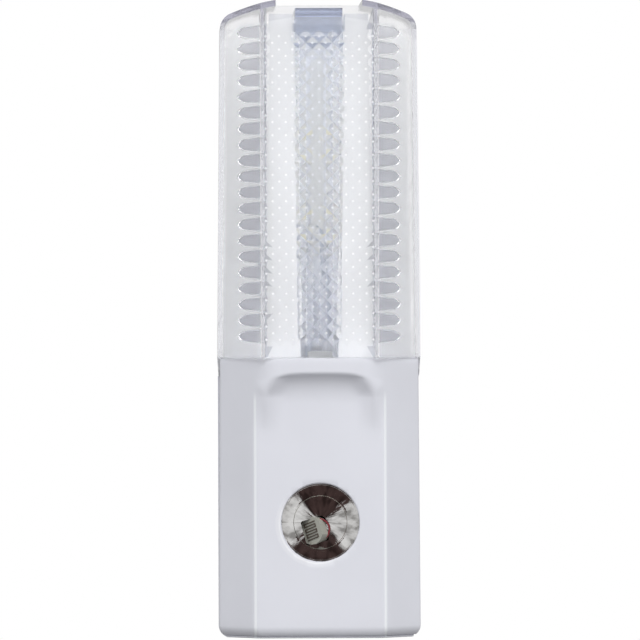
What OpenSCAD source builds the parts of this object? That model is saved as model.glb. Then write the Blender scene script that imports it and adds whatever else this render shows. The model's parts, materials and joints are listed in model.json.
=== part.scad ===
// Plug-in night light with a dusk sensor: a white two-part base that carries its own flat two-pin
// plug, and a clear ribbed shade that slides off upwards.
// Frame: millimetres, the origin is the centre of the plug's end face, +Y points into the wall,
// the front faces -Y, +X is to the right seen from the front, and +Z is up.

/* [Body] */
// Width of the base across its straight sides
base_w = 37.0; // [35.5:0.5:42]
// Height of the base from its underside to the shade joint
base_h = 51.8; // [48:0.1:60]
// Height of the plug's centre above the underside
plug_rise = 25.0; // [24:0.5:27]
// Depth of the body from its wall face to the front flat
body_depth = 29.0; // [28:0.5:34]
// Width of each side bevel seen from the front
bevel_w = 7.75; // [6:0.25:9]
// How far back the side bevels run
bevel_depth = 10.0; // [8:0.5:11]
// Wall thickness of both housings
wall = 2.0; // [1.6:0.1:2.2]
// Depth of the arched recess in the front
recess_depth = 2.3; // [1.6:0.1:2.6]
// Height of the ledge left above the recess
ledge_h = 3.1; // [2.2:0.1:4]
// Corner radius of the recess arch
arch_r = 8.0; // [5:0.5:12]
// Radius of the cove under the ledge
cove_r = 3.6; // [2.8:0.1:4.5]
// Corner radius of the underside
foot_r = 2.2; // [1:0.1:3]
// Depth of the rear housing's rim
rim_depth = 5.0; // [4.5:0.5:5.5]
// How far the rear housing's tongue reaches into the front housing
tongue_reach = 2.0; // [1:0.1:2.4]
// Thickness of that tongue
tongue_t = 1.0; // [0.8:0.1:1.2]

/* [Shade] */
// Height of the shade above the joint, at the ends of its notch
shade_h = 65.1; // [58:0.1:75]
// How far each side of the shade stands proud of the base at the joint
shade_over = 0.2; // [0.1:0.05:0.3]
// How much narrower the shade is at its top
shade_taper = 1.4; // [0.8:0.1:2]
// Wall thickness of the shade
shade_wall = 1.5; // [1.2:0.1:1.6]
// Radius of the arched top
crown_r = 46.0; // [38:1:60]
// Radius of the two top corners
shoulder_r = 3.0; // [2:0.1:4]
// Width of the notch in the top
notch_w = 15.8; // [12:0.1:18]
// Depth of the notch
notch_depth = 1.1; // [0.8:0.1:1.6]
// How far the side skirts reach down over the base
skirt_drop = 3.3; // [2:0.1:4]
// Thickness of the side skirts
skirt_t = 1.0; // [0.8:0.1:1.1]
// Number of ribs inside each bevel
rib_count = 20; // [12:1:22]
// Distance between neighbouring ribs
rib_pitch = 2.95; // [2.6:0.05:3]
// Radius of a rib
rib_r = 1.15; // [0.7:0.05:1.2]
// Length of a rib along its bevel
rib_len = 6.8; // [4:0.1:7]
// Width and depth of the lips that run behind the backplate
lip = 1.0; // [0.8:0.1:1.2]
// Width of the slot in the shade's lower front edge
slot_w = 7.8; // [6:0.1:9]
// Height of that slot
slot_h = 1.4; // [1.2:0.1:2]
// Width of the tab on the base that stands in the slot
tab_w = 4.6; // [3:0.1:5]

/* [Latch] */
// Width of the latch arm
latch_w = 8.6; // [7:0.1:8.8]
// Thickness of the latch arm
latch_t = 1.6; // [1.2:0.1:1.8]
// Height of the nose at the arm's end
nose_h = 4.4; // [3.6:0.1:4.6]
// Depth of that nose
nose_t = 2.4; // [1.6:0.1:3]

/* [Plug] */
// Width of the plug body
stub_w = 35.3; // [35:0.1:35.3]
// Thickness of the plug body
stub_t = 13.7; // [13.2:0.1:13.7]
// Straight width of the plug body between its slanted ends
stub_flat_w = 26.1; // [25:0.1:27]
// How far the plug body stands off the wall face of the base
stub_depth = 18.0; // [17:0.5:19]
// Diameter of the contact pins
pin_d = 4.0; // [3.95:0.01:4.05]
// How far the pins stand out of the plug body
pin_len = 19.0; // [18:0.5:19.5]
// Distance between the pins at the plug's end face
pin_pitch = 18.6; // [18:0.1:19]
// Distance between the pins at their tips
tip_pitch = 17.5; // [17:0.1:18]
// Diameter of the pin's insulating sleeve
sleeve_d = 3.6; // [3.4:0.05:3.65]
// Length of sleeve outside the plug body
sleeve_len = 10.0; // [9:0.5:10]
// Diameter of the pin's core inside its sleeve
core_d = 3.0; // [2.4:0.1:3.1]

/* [Sensor] */
// Height of the sensor's centre above the underside
sensor_rise = 21.7; // [20:0.1:22.2]
// Diameter of the bright cup at its rim
cup_d = 14.3; // [13:0.1:14.6]
// Diameter at the step inside the cup
cup_step_d = 10.2; // [9:0.1:10.6]
// Diameter of the hole in the cup's floor
cup_floor_d = 8.2; // [7.9:0.1:8.6]
// Depth of the cup
cup_depth = 5.6; // [5:0.1:6]
// Thickness of the cup's wall
cup_t = 0.5; // [0.4:0.05:0.6]
// Diameter of the photocell
cell_d = 5.1; // [4.8:0.1:5.3]
// Width across the photocell's two flats
cell_flat = 4.3; // [4:0.1:4.5]
// Thickness of the photocell
cell_t = 2.0; // [1.8:0.1:2.4]

/* [Electronics] */
// Space between the main board's edges and the base's inner sides
board_margin = 1.2; // [0.8:0.1:3]
// Thickness of the main board
board_t = 1.6; // [1.2:0.1:1.8]
// Distance from the base's back wall to the main board
board_gap = 10.0; // [9:0.5:10.5]
// Width of the light board in its trough
strip_w = 6.6; // [6:0.1:7]
// Thickness of the light board
strip_t = 1.0; // [0.8:0.1:1.2]
// Height of the light board's lower end above the joint
strip_rise = 21.5; // [18:0.5:23]
// Height of the lower diode above the joint
diode_rise = 24.6; // [23.6:0.2:26]
// Distance between the two diodes
diode_pitch = 14.8; // [12:0.1:16]
// Width of the trough between the reflector's wings at its foot
trough_w = 6.8; // [6.4:0.1:7.6]
// Width of the trough at its top
trough_top_w = 9.6; // [9.2:0.1:10]
// Thickness of the reflector
wing_t = 1.0; // [0.8:0.1:1.2]
// Radius of the insulated wires
wire_r = 0.55; // [0.4:0.05:0.6]

/* [Fasteners] */
// Radius of a housing screw's shank
screw_r = 1.4; // [1.2:0.05:1.5]
// Radius of its head
head_r = 2.6; // [2.2:0.1:2.8]
// Length of its shank
screw_len = 9.5; // [8:0.5:10]
// Radius of the bosses the screws turn into
boss_r = 3.0; // [2.6:0.1:3.2]

/* [Fits] */
// Clearance between pieces that rest on each other
seat_gap = 0.02; // [0.01:0.01:0.05]
// Clearance around pieces that slide
slide_gap = 0.10; // [0.06:0.01:0.15]

/* [Hidden] */
$fn = 96;

// A length larger than the whole part, for cutting tools, and the overlap of joined solids
big = 200;
eps = 0.01;
weld = 0.4;

// Main planes
wall_y = -stub_depth;
front_y = wall_y - body_depth;
panel_y = front_y + recess_depth;
seam_y = wall_y - rim_depth;
foot_z = -plug_rise;
joint_z = foot_z + base_h;
sensor_z = foot_z + sensor_rise;
half_w = base_w / 2;
flat_half = half_w - bevel_w;
slope = bevel_depth / bevel_w;
slant = sqrt(1 + slope * slope);
bevel_angle = atan2(bevel_w, bevel_depth);
panel_half = flat_half + recess_depth / slope;
inner_front_y = panel_y + wall;
inner_back_y = wall_y - wall;

// Shade
shade_w = base_w + 2 * shade_over;
shade_top_w = shade_w - shade_taper;
shade_bot_z = joint_z + seat_gap;
notch_top_z = joint_z + shade_h;
crown_z = notch_top_z + crown_r - sqrt(crown_r * crown_r - notch_w * notch_w / 4);
side_draft = atan2(shade_w - shade_top_w, 2 * shade_h);
skirt_y = front_y + (shade_w / 2 - flat_half) * slope + shade_wall;
plate_back_y = wall_y - lip - slide_gap;
plate_t = 1.9;
plate_front_y = plate_back_y - plate_t;
plate_half = shade_w / 2 - shade_wall - 2 * slide_gap;
plate_top_half = shade_top_w / 2 - shade_wall - 2 * slide_gap;
plate_top_z = notch_top_z - shoulder_r - 2 * slide_gap;
neck_half = 8.0;
neck_flange = 1.6;
rib_bot_z = joint_z + 3.1;
rib_start = 0.8;
tab_h = slot_h - 2 * slide_gap;

// Latch
latch_top_z = notch_top_z - notch_depth - slide_gap;
latch_root_y = front_y + shade_wall + slide_gap;
nose_y = plate_front_y - slide_gap;
latch_hinge_y = latch_root_y + latch_t / 2;
latch_hinge_z = latch_top_z - latch_t / 2;
latch_pad_y = latch_root_y + 0.3;
latch_pad_t = 1.2;

// Plug
stub_chamfer = (stub_w - stub_flat_w) / 2;
stub_wall = 2.0;
flange_t = 1.2;
flange_half = stub_flat_w / 2 - 1;
pin_angle = atan2(pin_pitch - tip_pitch, 2 * pin_len);
pin_r = pin_d / 2;
sleeve_r = sleeve_d / 2;
core_r = core_d / 2;
sleeve_root = 8.0;
pin_head_r = 2.6;
pin_head_t = 1.2;
pin_boss_r = 3.6;
pin_floor = -(stub_depth + wall);
pin_head_gap = seat_gap + pin_head_r * sin(pin_angle);

// Screw positions, seen from the front: two under the joint and one near the underside
screw_in = wall + boss_r + 0.3;
screw_spots = [[-half_w + screw_in, joint_z - screw_in - wall + 0.3],
               [half_w - screw_in, joint_z - screw_in - wall + 0.3], [0, foot_z + screw_in + 0.2]];

// Board positions
board_w = base_w - 2 * wall - 2 * board_margin;
board_back_y = inner_back_y - board_gap;
board_front_y = board_back_y - board_t;
board_bot_z = screw_spots[2][1] + boss_r + board_margin / 2;
board_top_z = screw_spots[0][1] - boss_r - board_margin / 2;
floor_front_y = plate_front_y - seat_gap - wing_t;
strip_back_y = floor_front_y - seat_gap;
strip_front_y = strip_back_y - strip_t;
strip_top_z = latch_top_z - nose_h - 2.4;
strip_bot_z = joint_z + strip_rise;
led_wire_x = 1.6;
led_wire_lap = 1.0;
led_wire_drop = 4.0;
wing_front_y = front_y + shade_wall + 2.8;
wing_top_z = latch_top_z - wing_t;
wing_bot_z = joint_z + seat_gap;
wing_out = flat_half - 0.25;
wing_top_out = flat_half - 1.65;

// Fasteners
head_t = 1.8;
pad_t = 2.0;
head_y = wall_y - head_t - 0.4;
boss_end_y = inner_back_y - pad_t - 2 * seat_gap;
post_r = 1.5;
post_in = 1.3 * post_r;
post_spots = [[-board_w / 2 + post_in, board_bot_z + post_in], [board_w / 2 - post_in, board_bot_z + post_in],
              [-board_w / 2 + post_in, board_top_z - post_in], [board_w / 2 - post_in, board_top_z - post_in]];

// Outline of the body seen from above, inset by o: a straight back, straight sides, two bevels
module plan(a, w, yf, yb, o) {
    xa = a - o * (slant - 1) / slope;
    xb = w - o;
    ya = yf + o;
    ym = yf + (w - a) * slope + o * (slant - slope);
    polygon([[-xb, yb], [-xb, ym], [-xa, ya], [xa, ya], [xb, ym], [xb, yb]]);
}

// A prism along Y from yb forwards to yf, drawn in X and Z
module along_y(yf, yb) {
    translate([0, yb, 0])
        rotate([90, 0, 0])
            linear_extrude(yb - yf)
                children();
}

// A prism along X, centred, drawn in Y and Z
module along_x(w) {
    translate([-w / 2, 0, 0])
        rotate([90, 0, 90])
            linear_extrude(w)
                children();
}

// A round bar along +Y from y0 to y1 at x, z
module bar_y(x, z, r, y0, y1) {
    translate([x, y0, z])
        rotate([-90, 0, 0])
            cylinder(r = r, h = y1 - y0);
}

// A round bar along +X from x0 to x1 at y, z
module bar_x(y, z, r, x0, x1) {
    translate([x0, y, z])
        rotate([0, 90, 0])
            cylinder(r = r, h = x1 - x0);
}

module box(x0, x1, y0, y1, z0, z1) {
    translate([x0, y0, z0])
        cube([x1 - x0, y1 - y0, z1 - z0]);
}

// Front view of the base, inset by o, with round lower corners
module foot_view(o) {
    r = foot_r > o ? foot_r - o : eps;
    x = half_w - o;
    z = foot_z + o;
    translate([-x + r, z])
        square([2 * (x - r), joint_z - z]);
    translate([-x, z + r])
        square([2 * x, joint_z - z - r]);
    for (s = [-1, 1])
        translate([s * (x - r), z + r])
            circle(r = r);
}

// Side view of the base from yf backwards, with a round lower edge under the panel at yp
module foot_side(yf, yp) {
    translate([yf, foot_z + foot_r])
        square([-yf, base_h]);
    translate([yp + foot_r, foot_z])
        square([-yp - foot_r, base_h]);
    translate([yp + foot_r, foot_z + foot_r])
        circle(r = foot_r);
}

// Front view of the recess: straight sides and a top that turns down in two large corners
module recess_view() {
    top = joint_z - ledge_h;
    x = panel_half + eps;
    translate([-x + arch_r, foot_z - foot_r])
        square([2 * (x - arch_r), top - foot_z + foot_r]);
    translate([-x, foot_z - foot_r])
        square([2 * x, top - arch_r - foot_z + foot_r]);
    for (s = [-1, 1])
        translate([s * (x - arch_r), top - arch_r])
            circle(r = arch_r);
}

// Side view of the recess: a flat panel with a cove above it
module recess_side() {
    rise = sqrt(cove_r * cove_r - pow(cove_r - recess_depth, 2));
    z = joint_z - ledge_h - rise;
    translate([panel_y - 2 * cove_r, foot_z - foot_r])
        square([2 * cove_r, z - foot_z + foot_r]);
    translate([panel_y - cove_r, z])
        circle(r = cove_r);
}

// The side pockets that take the shade's skirts
module skirt_pockets() {
    x = shade_w / 2 - skirt_t - slide_gap;
    for (s = [0, 1])
        mirror([s, 0, 0])
            box(x, big, skirt_y - slide_gap, wall_y + big, joint_z - skirt_drop - slide_gap, big);
}

// White front half of the base
module front_housing() {
    color("white")
    union() {
        difference() {
            intersection() {
                translate([0, 0, foot_z])
                    linear_extrude(base_h)
                        plan(flat_half, half_w, front_y, seam_y, 0);
                along_y(front_y - eps, seam_y)
                    foot_view(0);
                along_x(base_w)
                    foot_side(front_y - eps, panel_y);
            }
            intersection() {
                along_y(front_y - big, panel_y + eps)
                    recess_view();
                along_x(base_w + big)
                    recess_side();
            }
            intersection() {
                translate([0, 0, foot_z + wall])
                    linear_extrude(base_h - 2 * wall)
                        plan(panel_half, half_w, panel_y, seam_y + eps, wall);
                along_y(front_y, seam_y + 2 * eps)
                    foot_view(wall);
            }
            skirt_pockets();
            // Hole for the sensor's cup, with a soft rim
            bar_y(0, sensor_z, cup_d / 2 + seat_gap, front_y, inner_front_y + eps);
            translate([0, panel_y - eps, sensor_z])
                rotate([-90, 0, 0])
                    cylinder(r1 = cup_d / 2 + 0.65, r2 = cup_d / 2 + seat_gap, h = 0.65);
            // Passage for the light board's wires
            box(-3.2, 3.2, strip_front_y - 3 * wire_r, seam_y + eps, joint_z - wall - eps, joint_z + eps);
        }
        // Tab that stands in the shade's front slot
        box(-tab_w / 2, tab_w / 2, front_y + slide_gap, front_y + shade_wall, joint_z - eps, joint_z + tab_h);
        // Screw bosses, joined to the front and side walls
        intersection() {
            union() {
                for (p = screw_spots)
                    difference() {
                        bar_y(p[0], p[1], boss_r, inner_front_y - weld, boss_end_y);
                        bar_y(p[0], p[1], screw_r + seat_gap, boss_end_y - screw_len, boss_end_y + eps);
                    }
            }
            along_x(base_w)
                foot_side(panel_y + eps, panel_y + eps);
            translate([0, 0, foot_z])
                linear_extrude(base_h)
                    plan(panel_half, half_w, panel_y, wall_y, wall / 2);
        }
    }
}

// Front view of the backplate, narrower towards its top
module plate_view() {
    c = shoulder_r;
    polygon([[-plate_half, joint_z + seat_gap], [plate_half, joint_z + seat_gap],
             [plate_top_half, plate_top_z - c], [plate_top_half - c, plate_top_z],
             [-plate_top_half + c, plate_top_z], [-plate_top_half, plate_top_z - c]]);
}

// Outline of the plug body, inset by o
module stub_view(o) {
    c = stub_chamfer - o * (sqrt(2) - 1);
    x = stub_w / 2 - o;
    z = stub_t / 2 - o;
    polygon([[-x, -z + c], [-x + c, -z], [x - c, -z], [x, -z + c], [x, z - c], [x - c, z], [-x + c, z],
             [-x, z - c]]);
}

// Puts its children on a pin's axis, for both pins: +Z runs to the tip, 0 is the plug's end face
module on_pins() {
    for (s = [0, 1])
        mirror([s, 0, 0])
            translate([pin_pitch / 2, 0, 0])
                rotate([0, 0, pin_angle])
                    rotate([-90, 0, 0])
                        children();
}

// White plug body: hollow, with a round tube for each pin and a flange inside the base
module plug_body() {
    flange_y = inner_back_y - flange_t - seat_gap;
    color("white")
    difference() {
        union() {
            difference() {
                union() {
                    along_y(inner_back_y - seat_gap, 0)
                        stub_view(0);
                    box(-flange_half, flange_half, flange_y, inner_back_y + weld, -stub_t / 2 + weld,
                        stub_t / 2 - weld);
                    box(-flange_half, flange_half, flange_y, inner_back_y - seat_gap, -stub_t / 2 - flange_t,
                        stub_t / 2 + flange_t);
                }
                along_y(flange_y - eps, -stub_wall)
                    stub_view(stub_wall);
            }
            intersection() {
                on_pins()
                    translate([0, 0, pin_floor])
                        cylinder(r = pin_boss_r, h = big);
                box(-half_w, half_w, inner_back_y, -stub_wall + weld, -stub_t / 2 + weld, stub_t / 2 - weld);
            }
        }
        on_pins()
            translate([0, 0, 2 * pin_floor])
                cylinder(r = core_r + seat_gap, h = big);
        on_pins()
            translate([0, 0, -sleeve_root - seat_gap])
                cylinder(r = sleeve_r + 3 * seat_gap, h = big);
    }
}

// White backplate on a neck that ends in a flange under the rear housing's top wall
module backplate() {
    neck_y = seam_y + 2 * seat_gap;
    foot_y = inner_back_y - seat_gap;
    flange_z = joint_z - wall - seat_gap - neck_flange;
    color("white")
    union() {
        along_y(plate_front_y, plate_back_y)
            plate_view();
        box(-neck_half, neck_half, plate_front_y, plate_back_y, joint_z - weld, joint_z + weld);
        box(-neck_half, neck_half, neck_y, plate_back_y, joint_z - wall + seat_gap, joint_z);
        box(-neck_half, neck_half, neck_y, foot_y, flange_z, joint_z - weld);
        box(-neck_half - neck_flange, neck_half + neck_flange, neck_y, foot_y,
            flange_z, flange_z + neck_flange);
    }
}

// White rear half with the openings for the plug and the backplate and the posts for the main board
module rear_housing() {
    tongue_out = wall + 3 * seat_gap;
    color("white")
    difference() {
        union() {
            difference() {
                intersection() {
                    translate([0, 0, foot_z])
                        linear_extrude(base_h)
                            plan(flat_half, half_w, front_y, wall_y, 0);
                    along_y(seam_y + seat_gap, wall_y)
                        foot_view(0);
                }
                along_y(front_y, inner_back_y)
                    intersection() {
                        foot_view(wall);
                        translate([-half_w, foot_z])
                            square([base_w, base_h - wall]);
                    }
                skirt_pockets();
            }
            // Tongue inside the front housing, along the sides and the underside, on a thicker rim
            difference() {
                union() {
                    along_y(seam_y - tongue_reach, seam_y + weld)
                        difference() {
                            foot_view(tongue_out);
                            foot_view(tongue_out + tongue_t);
                        }
                    along_y(seam_y + seat_gap, inner_back_y + weld)
                        difference() {
                            foot_view(wall - weld);
                            foot_view(tongue_out + tongue_t);
                        }
                }
                box(-half_w, half_w, front_y, wall_y, screw_spots[0][1] - boss_r - seat_gap, joint_z + big);
                box(-boss_r - 1, boss_r + 1, front_y, wall_y, foot_z, foot_z + 2 * wall + boss_r);
            }
            // Pads around the screw holes
            intersection() {
                for (p = screw_spots)
                    bar_y(p[0], p[1], head_r + 1.4, inner_back_y - pad_t, inner_back_y + weld);
                along_y(front_y, wall_y)
                    foot_view(wall / 2);
            }
            for (p = post_spots)
                bar_y(p[0], p[1], post_r, board_back_y + seat_gap, inner_back_y + weld);
        }
        // Notch in the top wall for the backplate's neck
        box(-neck_half - slide_gap, neck_half + slide_gap, front_y, plate_back_y + seat_gap,
            joint_z - wall - eps, joint_z + eps);
        // Opening that the plug body stands in
        along_y(inner_back_y - eps, wall_y + eps)
            stub_view(-slide_gap);
        for (p = screw_spots) {
            bar_y(p[0], p[1], screw_r + slide_gap, inner_back_y - big / 4, wall_y + eps);
            bar_y(p[0], p[1], head_r + 2 * slide_gap, head_y, wall_y + eps);
        }
    }
}

// Front view of the shade, inset by o: drafted sides, an arched top and two round shoulders
module shade_view(o, z0) {
    t = tan(side_draft);
    x0 = shade_w / 2 - o + (joint_z - z0) * t;
    r = shoulder_r - o / 2;
    cr = crown_r - o;
    // The shoulder's centre keeps its radius from the drafted side and from the crown
    zs = crown_z - crown_r + sqrt(pow(cr - r, 2) - pow(shade_top_w / 2 - o - r, 2));
    xs = shade_w / 2 - o - (zs - joint_z) * t - r / cos(side_draft);
    ts = atan2(xs, zs - crown_z + crown_r);
    intersection() {
        union() {
            polygon([[-x0, z0], [x0, z0], [xs + r * cos(side_draft), zs + r * sin(side_draft)],
                     [xs + r * sin(ts), zs + r * cos(ts)], [0, crown_z + crown_r],
                     [-xs - r * sin(ts), zs + r * cos(ts)],
                     [-xs - r * cos(side_draft), zs + r * sin(side_draft)]]);
            for (s = [-1, 1])
                translate([s * xs, zs])
                    circle(r = r);
        }
        translate([0, crown_z - crown_r])
            circle(r = cr, $fn = 360);
    }
}

// Half-spaces inside both bevels of the shade, inset by o
module between_bevels(o) {
    intersection_for(s = [0, 1])
        mirror([s, 0, 0])
            translate([flat_half, front_y, joint_z])
                rotate([0, 0, -bevel_angle])
                    translate([-big - o, -big / 2, -big / 2])
                        cube([big, big, 1.5 * big]);
}

// Clear shade: a front and two bevels with ribs behind them, two sides, an arched top with a notch
module shade() {
    rib_y = front_y + shade_wall;
    rib_x = flat_half - shade_wall * (slant - 1) / slope;
    color([0.86, 0.9, 0.98, 0.5])
    difference() {
        union() {
            difference() {
                intersection() {
                    along_y(front_y, wall_y)
                        shade_view(0, shade_bot_z);
                    between_bevels(0);
                }
                intersection() {
                    along_y(front_y + shade_wall, wall_y + eps)
                        shade_view(shade_wall, shade_bot_z - eps);
                    between_bevels(shade_wall);
                }
            }
            // Side skirts that reach down over the base
            difference() {
                along_y(skirt_y, wall_y)
                    shade_view(0, joint_z - skirt_drop);
                along_y(skirt_y - eps, wall_y + eps)
                    shade_view(skirt_t, joint_z - 2 * skirt_drop);
                box(-big, big, -big, big, joint_z + skirt_drop, big + joint_z);
                // Slanted lower front corners
                translate([0, skirt_y, joint_z - skirt_drop])
                    rotate([45, 0, 0])
                        cube([big, 1.6, 1.6], center = true);
            }
            // Lips that run behind the backplate
            intersection() {
                difference() {
                    along_y(wall_y - lip, wall_y)
                        shade_view(0, shade_bot_z);
                    along_y(wall_y - lip - eps, wall_y + eps)
                        shade_view(shade_wall + lip, shade_bot_z - eps);
                }
                box(-big, big, -big, big, shade_bot_z + 1, plate_top_z - 1);
            }
            // Ribs, half sunk into the inner face of each bevel and ending at the top wall
            intersection() {
                for (s = [0, 1], i = [0 : rib_count - 1])
                    mirror([s, 0, 0])
                        translate([rib_x, rib_y, rib_bot_z + i * rib_pitch])
                            rotate([0, 0, -bevel_angle])
                                rotate([-90, 0, 0])
                                    translate([0, 0, rib_start])
                                        cylinder(r = rib_r, h = rib_len, $fn = 32);
                along_y(front_y, wall_y)
                    shade_view(shade_wall / 2, shade_bot_z);
            }
        }
        // Notch in the top, and the open window behind the front wall
        box(-notch_w / 2, notch_w / 2, -big, big, notch_top_z - notch_depth, big);
        box(-notch_w / 2, notch_w / 2, front_y + shade_wall, big, notch_top_z - notch_depth - 2, big);
        // Slot in the lower front edge
        box(-slot_w / 2, slot_w / 2, -big, front_y + shade_wall + eps, joint_z - eps, joint_z + slot_h);
    }
}

// Clear arm behind the notch, with a pad hanging at its root and a nose that stands before the backplate
module shade_latch() {
    color([0.7, 0.78, 0.95, 0.6])
    union() {
        bar_x(latch_hinge_y, latch_hinge_z, latch_t / 2, -latch_w / 2, latch_w / 2);
        box(-latch_w / 2, latch_w / 2, latch_pad_y, latch_pad_y + latch_pad_t, latch_top_z - nose_h,
            latch_hinge_z);
        box(-latch_w / 2, latch_w / 2, latch_hinge_y, nose_y, latch_top_z - latch_t, latch_top_z);
        box(-latch_w / 2, latch_w / 2, nose_y - nose_t, nose_y, latch_top_z - nose_h, latch_top_z - eps);
    }
}

// Front view of two strips that run from the trough's edges to outer at the foot and outer_top at the top
module wing_view(outer, outer_top) {
    for (s = [-1, 1])
        polygon([[s * trough_w / 2, wing_bot_z], [s * outer, wing_bot_z], [s * outer_top, wing_top_z],
                 [s * trough_top_w / 2, wing_top_z]]);
}

// White reflector: two bright wings behind the front wall and a trough for the light board
module reflector() {
    color("white")
    union() {
        along_y(wing_front_y, wing_front_y + wing_t)
            wing_view(wing_out, wing_top_out);
        along_y(wing_front_y, plate_front_y - seat_gap)
            wing_view(trough_w / 2 + wing_t, trough_top_w / 2 + wing_t);
        difference() {
            along_y(floor_front_y, plate_front_y - seat_gap)
                polygon([[-trough_w / 2 - eps, wing_bot_z], [trough_w / 2 + eps, wing_bot_z],
                         [trough_top_w / 2 - eps, strip_top_z], [-trough_top_w / 2 + eps, strip_top_z]]);
            box(-trough_w / 2 + wing_t, trough_w / 2 - wing_t, front_y, wall_y, wing_bot_z - 1,
                wing_bot_z + 2 * wing_t);
        }
    }
}

// Light board standing in the trough
module led_board() {
    color([0.9, 0.91, 0.9])
        box(-strip_w / 2, strip_w / 2, strip_front_y, strip_back_y, strip_bot_z, strip_top_z);
}

package_w = 3.5;
package_h = 2.8;
package_t = 0.8;
phosphor_r = 1.15;
phosphor_t = 0.15;

// White packages of the two light-emitting diodes
module led_packages() {
    front = strip_front_y - seat_gap - package_t;
    color("ivory")
    for (i = [0, 1])
        difference() {
            box(-package_w / 2, package_w / 2, front, front + package_t,
                joint_z + diode_rise + i * diode_pitch - package_h / 2,
                joint_z + diode_rise + i * diode_pitch + package_h / 2);
            bar_y(0, joint_z + diode_rise + i * diode_pitch, phosphor_r + seat_gap, front - eps,
                  front + phosphor_t + seat_gap);
        }
}

// Yellow windows in the two packages
module led_phosphors() {
    front = strip_front_y - seat_gap - package_t;
    color("yellow")
    for (i = [0, 1])
        bar_y(0, joint_z + diode_rise + i * diode_pitch, phosphor_r, front, front + phosphor_t);
}

// A wire from the light board's lower end down to the back of the main board
module led_wire(x) {
    y = strip_front_y - seat_gap - wire_r;
    bend = 3 * wire_r;
    end_z = board_top_z - led_wire_drop;
    union() {
        translate([x, y, end_z + bend])
            cylinder(r = wire_r, h = strip_bot_z + led_wire_lap - end_z - bend);
        translate([x, y - bend, end_z + bend])
            rotate([0, 90, 0])
                rotate_extrude(angle = 90)
                    translate([bend, 0])
                        circle(r = wire_r);
        bar_y(x, end_z, wire_r, board_back_y + seat_gap, y - bend);
    }
}

module led_wire_pos() {
    color("white")
        led_wire(led_wire_x);
}

module led_wire_neg() {
    color("gray")
        led_wire(-led_wire_x);
}

// Photocell: the middle of its body, how far it is turned to the left, and how far it leans
cell_mid = [-1.0, panel_y + 0.46 * cup_depth, sensor_z - 1.55];
cell_turn = 38;
cell_lean = 19;
lead_r = 0.25;
lead_x = 1.27;

// Where a leg leaves the photocell's back; s is -1 for the left leg and 1 for the right one
function lead_at(s) = [cell_mid[0] + cell_t / 2 * sin(cell_turn) + s * lead_x * cos(cell_lean) * cos(cell_turn),
                       cell_mid[1] + cell_t / 2 * cos(cell_turn) - s * lead_x * cos(cell_lean) * sin(cell_turn)
                       + lead_r * tan(cell_turn) + seat_gap,
                       cell_mid[2] + s * lead_x * sin(cell_lean)];

// Board in the base that carries the mains parts and the sensor circuit
module main_board() {
    color("peru")
    difference() {
        box(-board_w / 2, board_w / 2, board_front_y, board_back_y, board_bot_z, board_top_z);
        for (s = [-1, 1])
            bar_y(lead_at(s)[0], lead_at(s)[2], lead_r + seat_gap, board_front_y - eps, board_back_y + eps);
    }
}

drop_w = 12.0;
drop_h = 5.0;
drop_t = 8.0;
drop_in = 3.0;

// Film capacitor that drops the mains voltage
module dropper_capacitor() {
    y = board_front_y - seat_gap;
    color("goldenrod")
        box(-board_w / 2 + drop_in, -board_w / 2 + drop_in + drop_w, y - drop_t, y,
            board_top_z - drop_in - drop_h, board_top_z - drop_in);
}

can_r = 3.15;
can_x = board_w / 2 - 2.25 * can_r;
can_z = board_top_z - 1.75 * can_r;
score = 0.4;
can_h = 8.0;

// Electrolytic capacitor standing on the board
module smoothing_capacitor() {
    y = board_front_y - seat_gap;
    color("darkslateblue")
    difference() {
        bar_y(can_x, can_z, can_r, y - can_h, y);
        for (t = [0, 90])
            translate([can_x, y - can_h, can_z])
                rotate([0, t, 0])
                    cube([can_r, 2 * score, score], center = true);
    }
}

// An axial part lying on the board along X: a body between two bent leads
module axial(x, z, r, len, reach) {
    y = board_front_y - seat_gap - r;
    bar_x(y, z, r, x - len / 2, x + len / 2);
    bar_x(y, z, lead_r, x - reach, x + reach);
    for (s = [-1, 1])
        bar_y(x + s * reach, z, lead_r, y, board_front_y - seat_gap);
}

diode_r = 1.3;
diode_len = 4.4;
diode_x = board_w / 2 - 1.65 * diode_len;

// Four rectifier diodes in two pairs
module rectifier_diodes() {
    color("black")
    for (s = [-1, 1], i = [0, 1])
        axial(s * diode_x, board_bot_z + 1.7 * diode_r + 2.75 * i * diode_r, diode_r, diode_len, diode_len);
}

fuse_r = 1.5;
fuse_len = 4.2;

// Fusible resistor in the mains input
module fusible_resistor() {
    color("seagreen")
        axial(-board_w / 2 + fuse_len, sensor_z, fuse_r, fuse_len, 0.76 * fuse_len);
}

bleed_r = 1.0;
bleed_len = 3.6;

// Two small resistors beside the sensor
module bleed_resistors() {
    color("tan")
    for (s = [-1, 1])
        axial(board_w / 2 - 1.1 * bleed_len, sensor_z + 1.9 * s * bleed_r, bleed_r, bleed_len,
              0.78 * bleed_len);
}

case_r = 2.3;
case_x = board_w / 2 - 1.7 * case_r;
case_z = 2.2;
case_top = 6.8;
case_bot = 2.4;

// Small three-legged transistor that switches the light
module switching_transistor() {
    y = board_front_y - seat_gap;
    color("dimgray")
    union() {
        difference() {
            bar_y(case_x, case_z, case_r, y - case_top, y - case_bot);
            box(case_x - big, case_x + big, y - big, y + big, case_z + case_r * 0.6, case_z + big);
        }
        for (i = [-1 : 1])
            bar_y(case_x + 1.27 * i, case_z, lead_r, y - case_bot - weld, y);
    }
}

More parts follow.
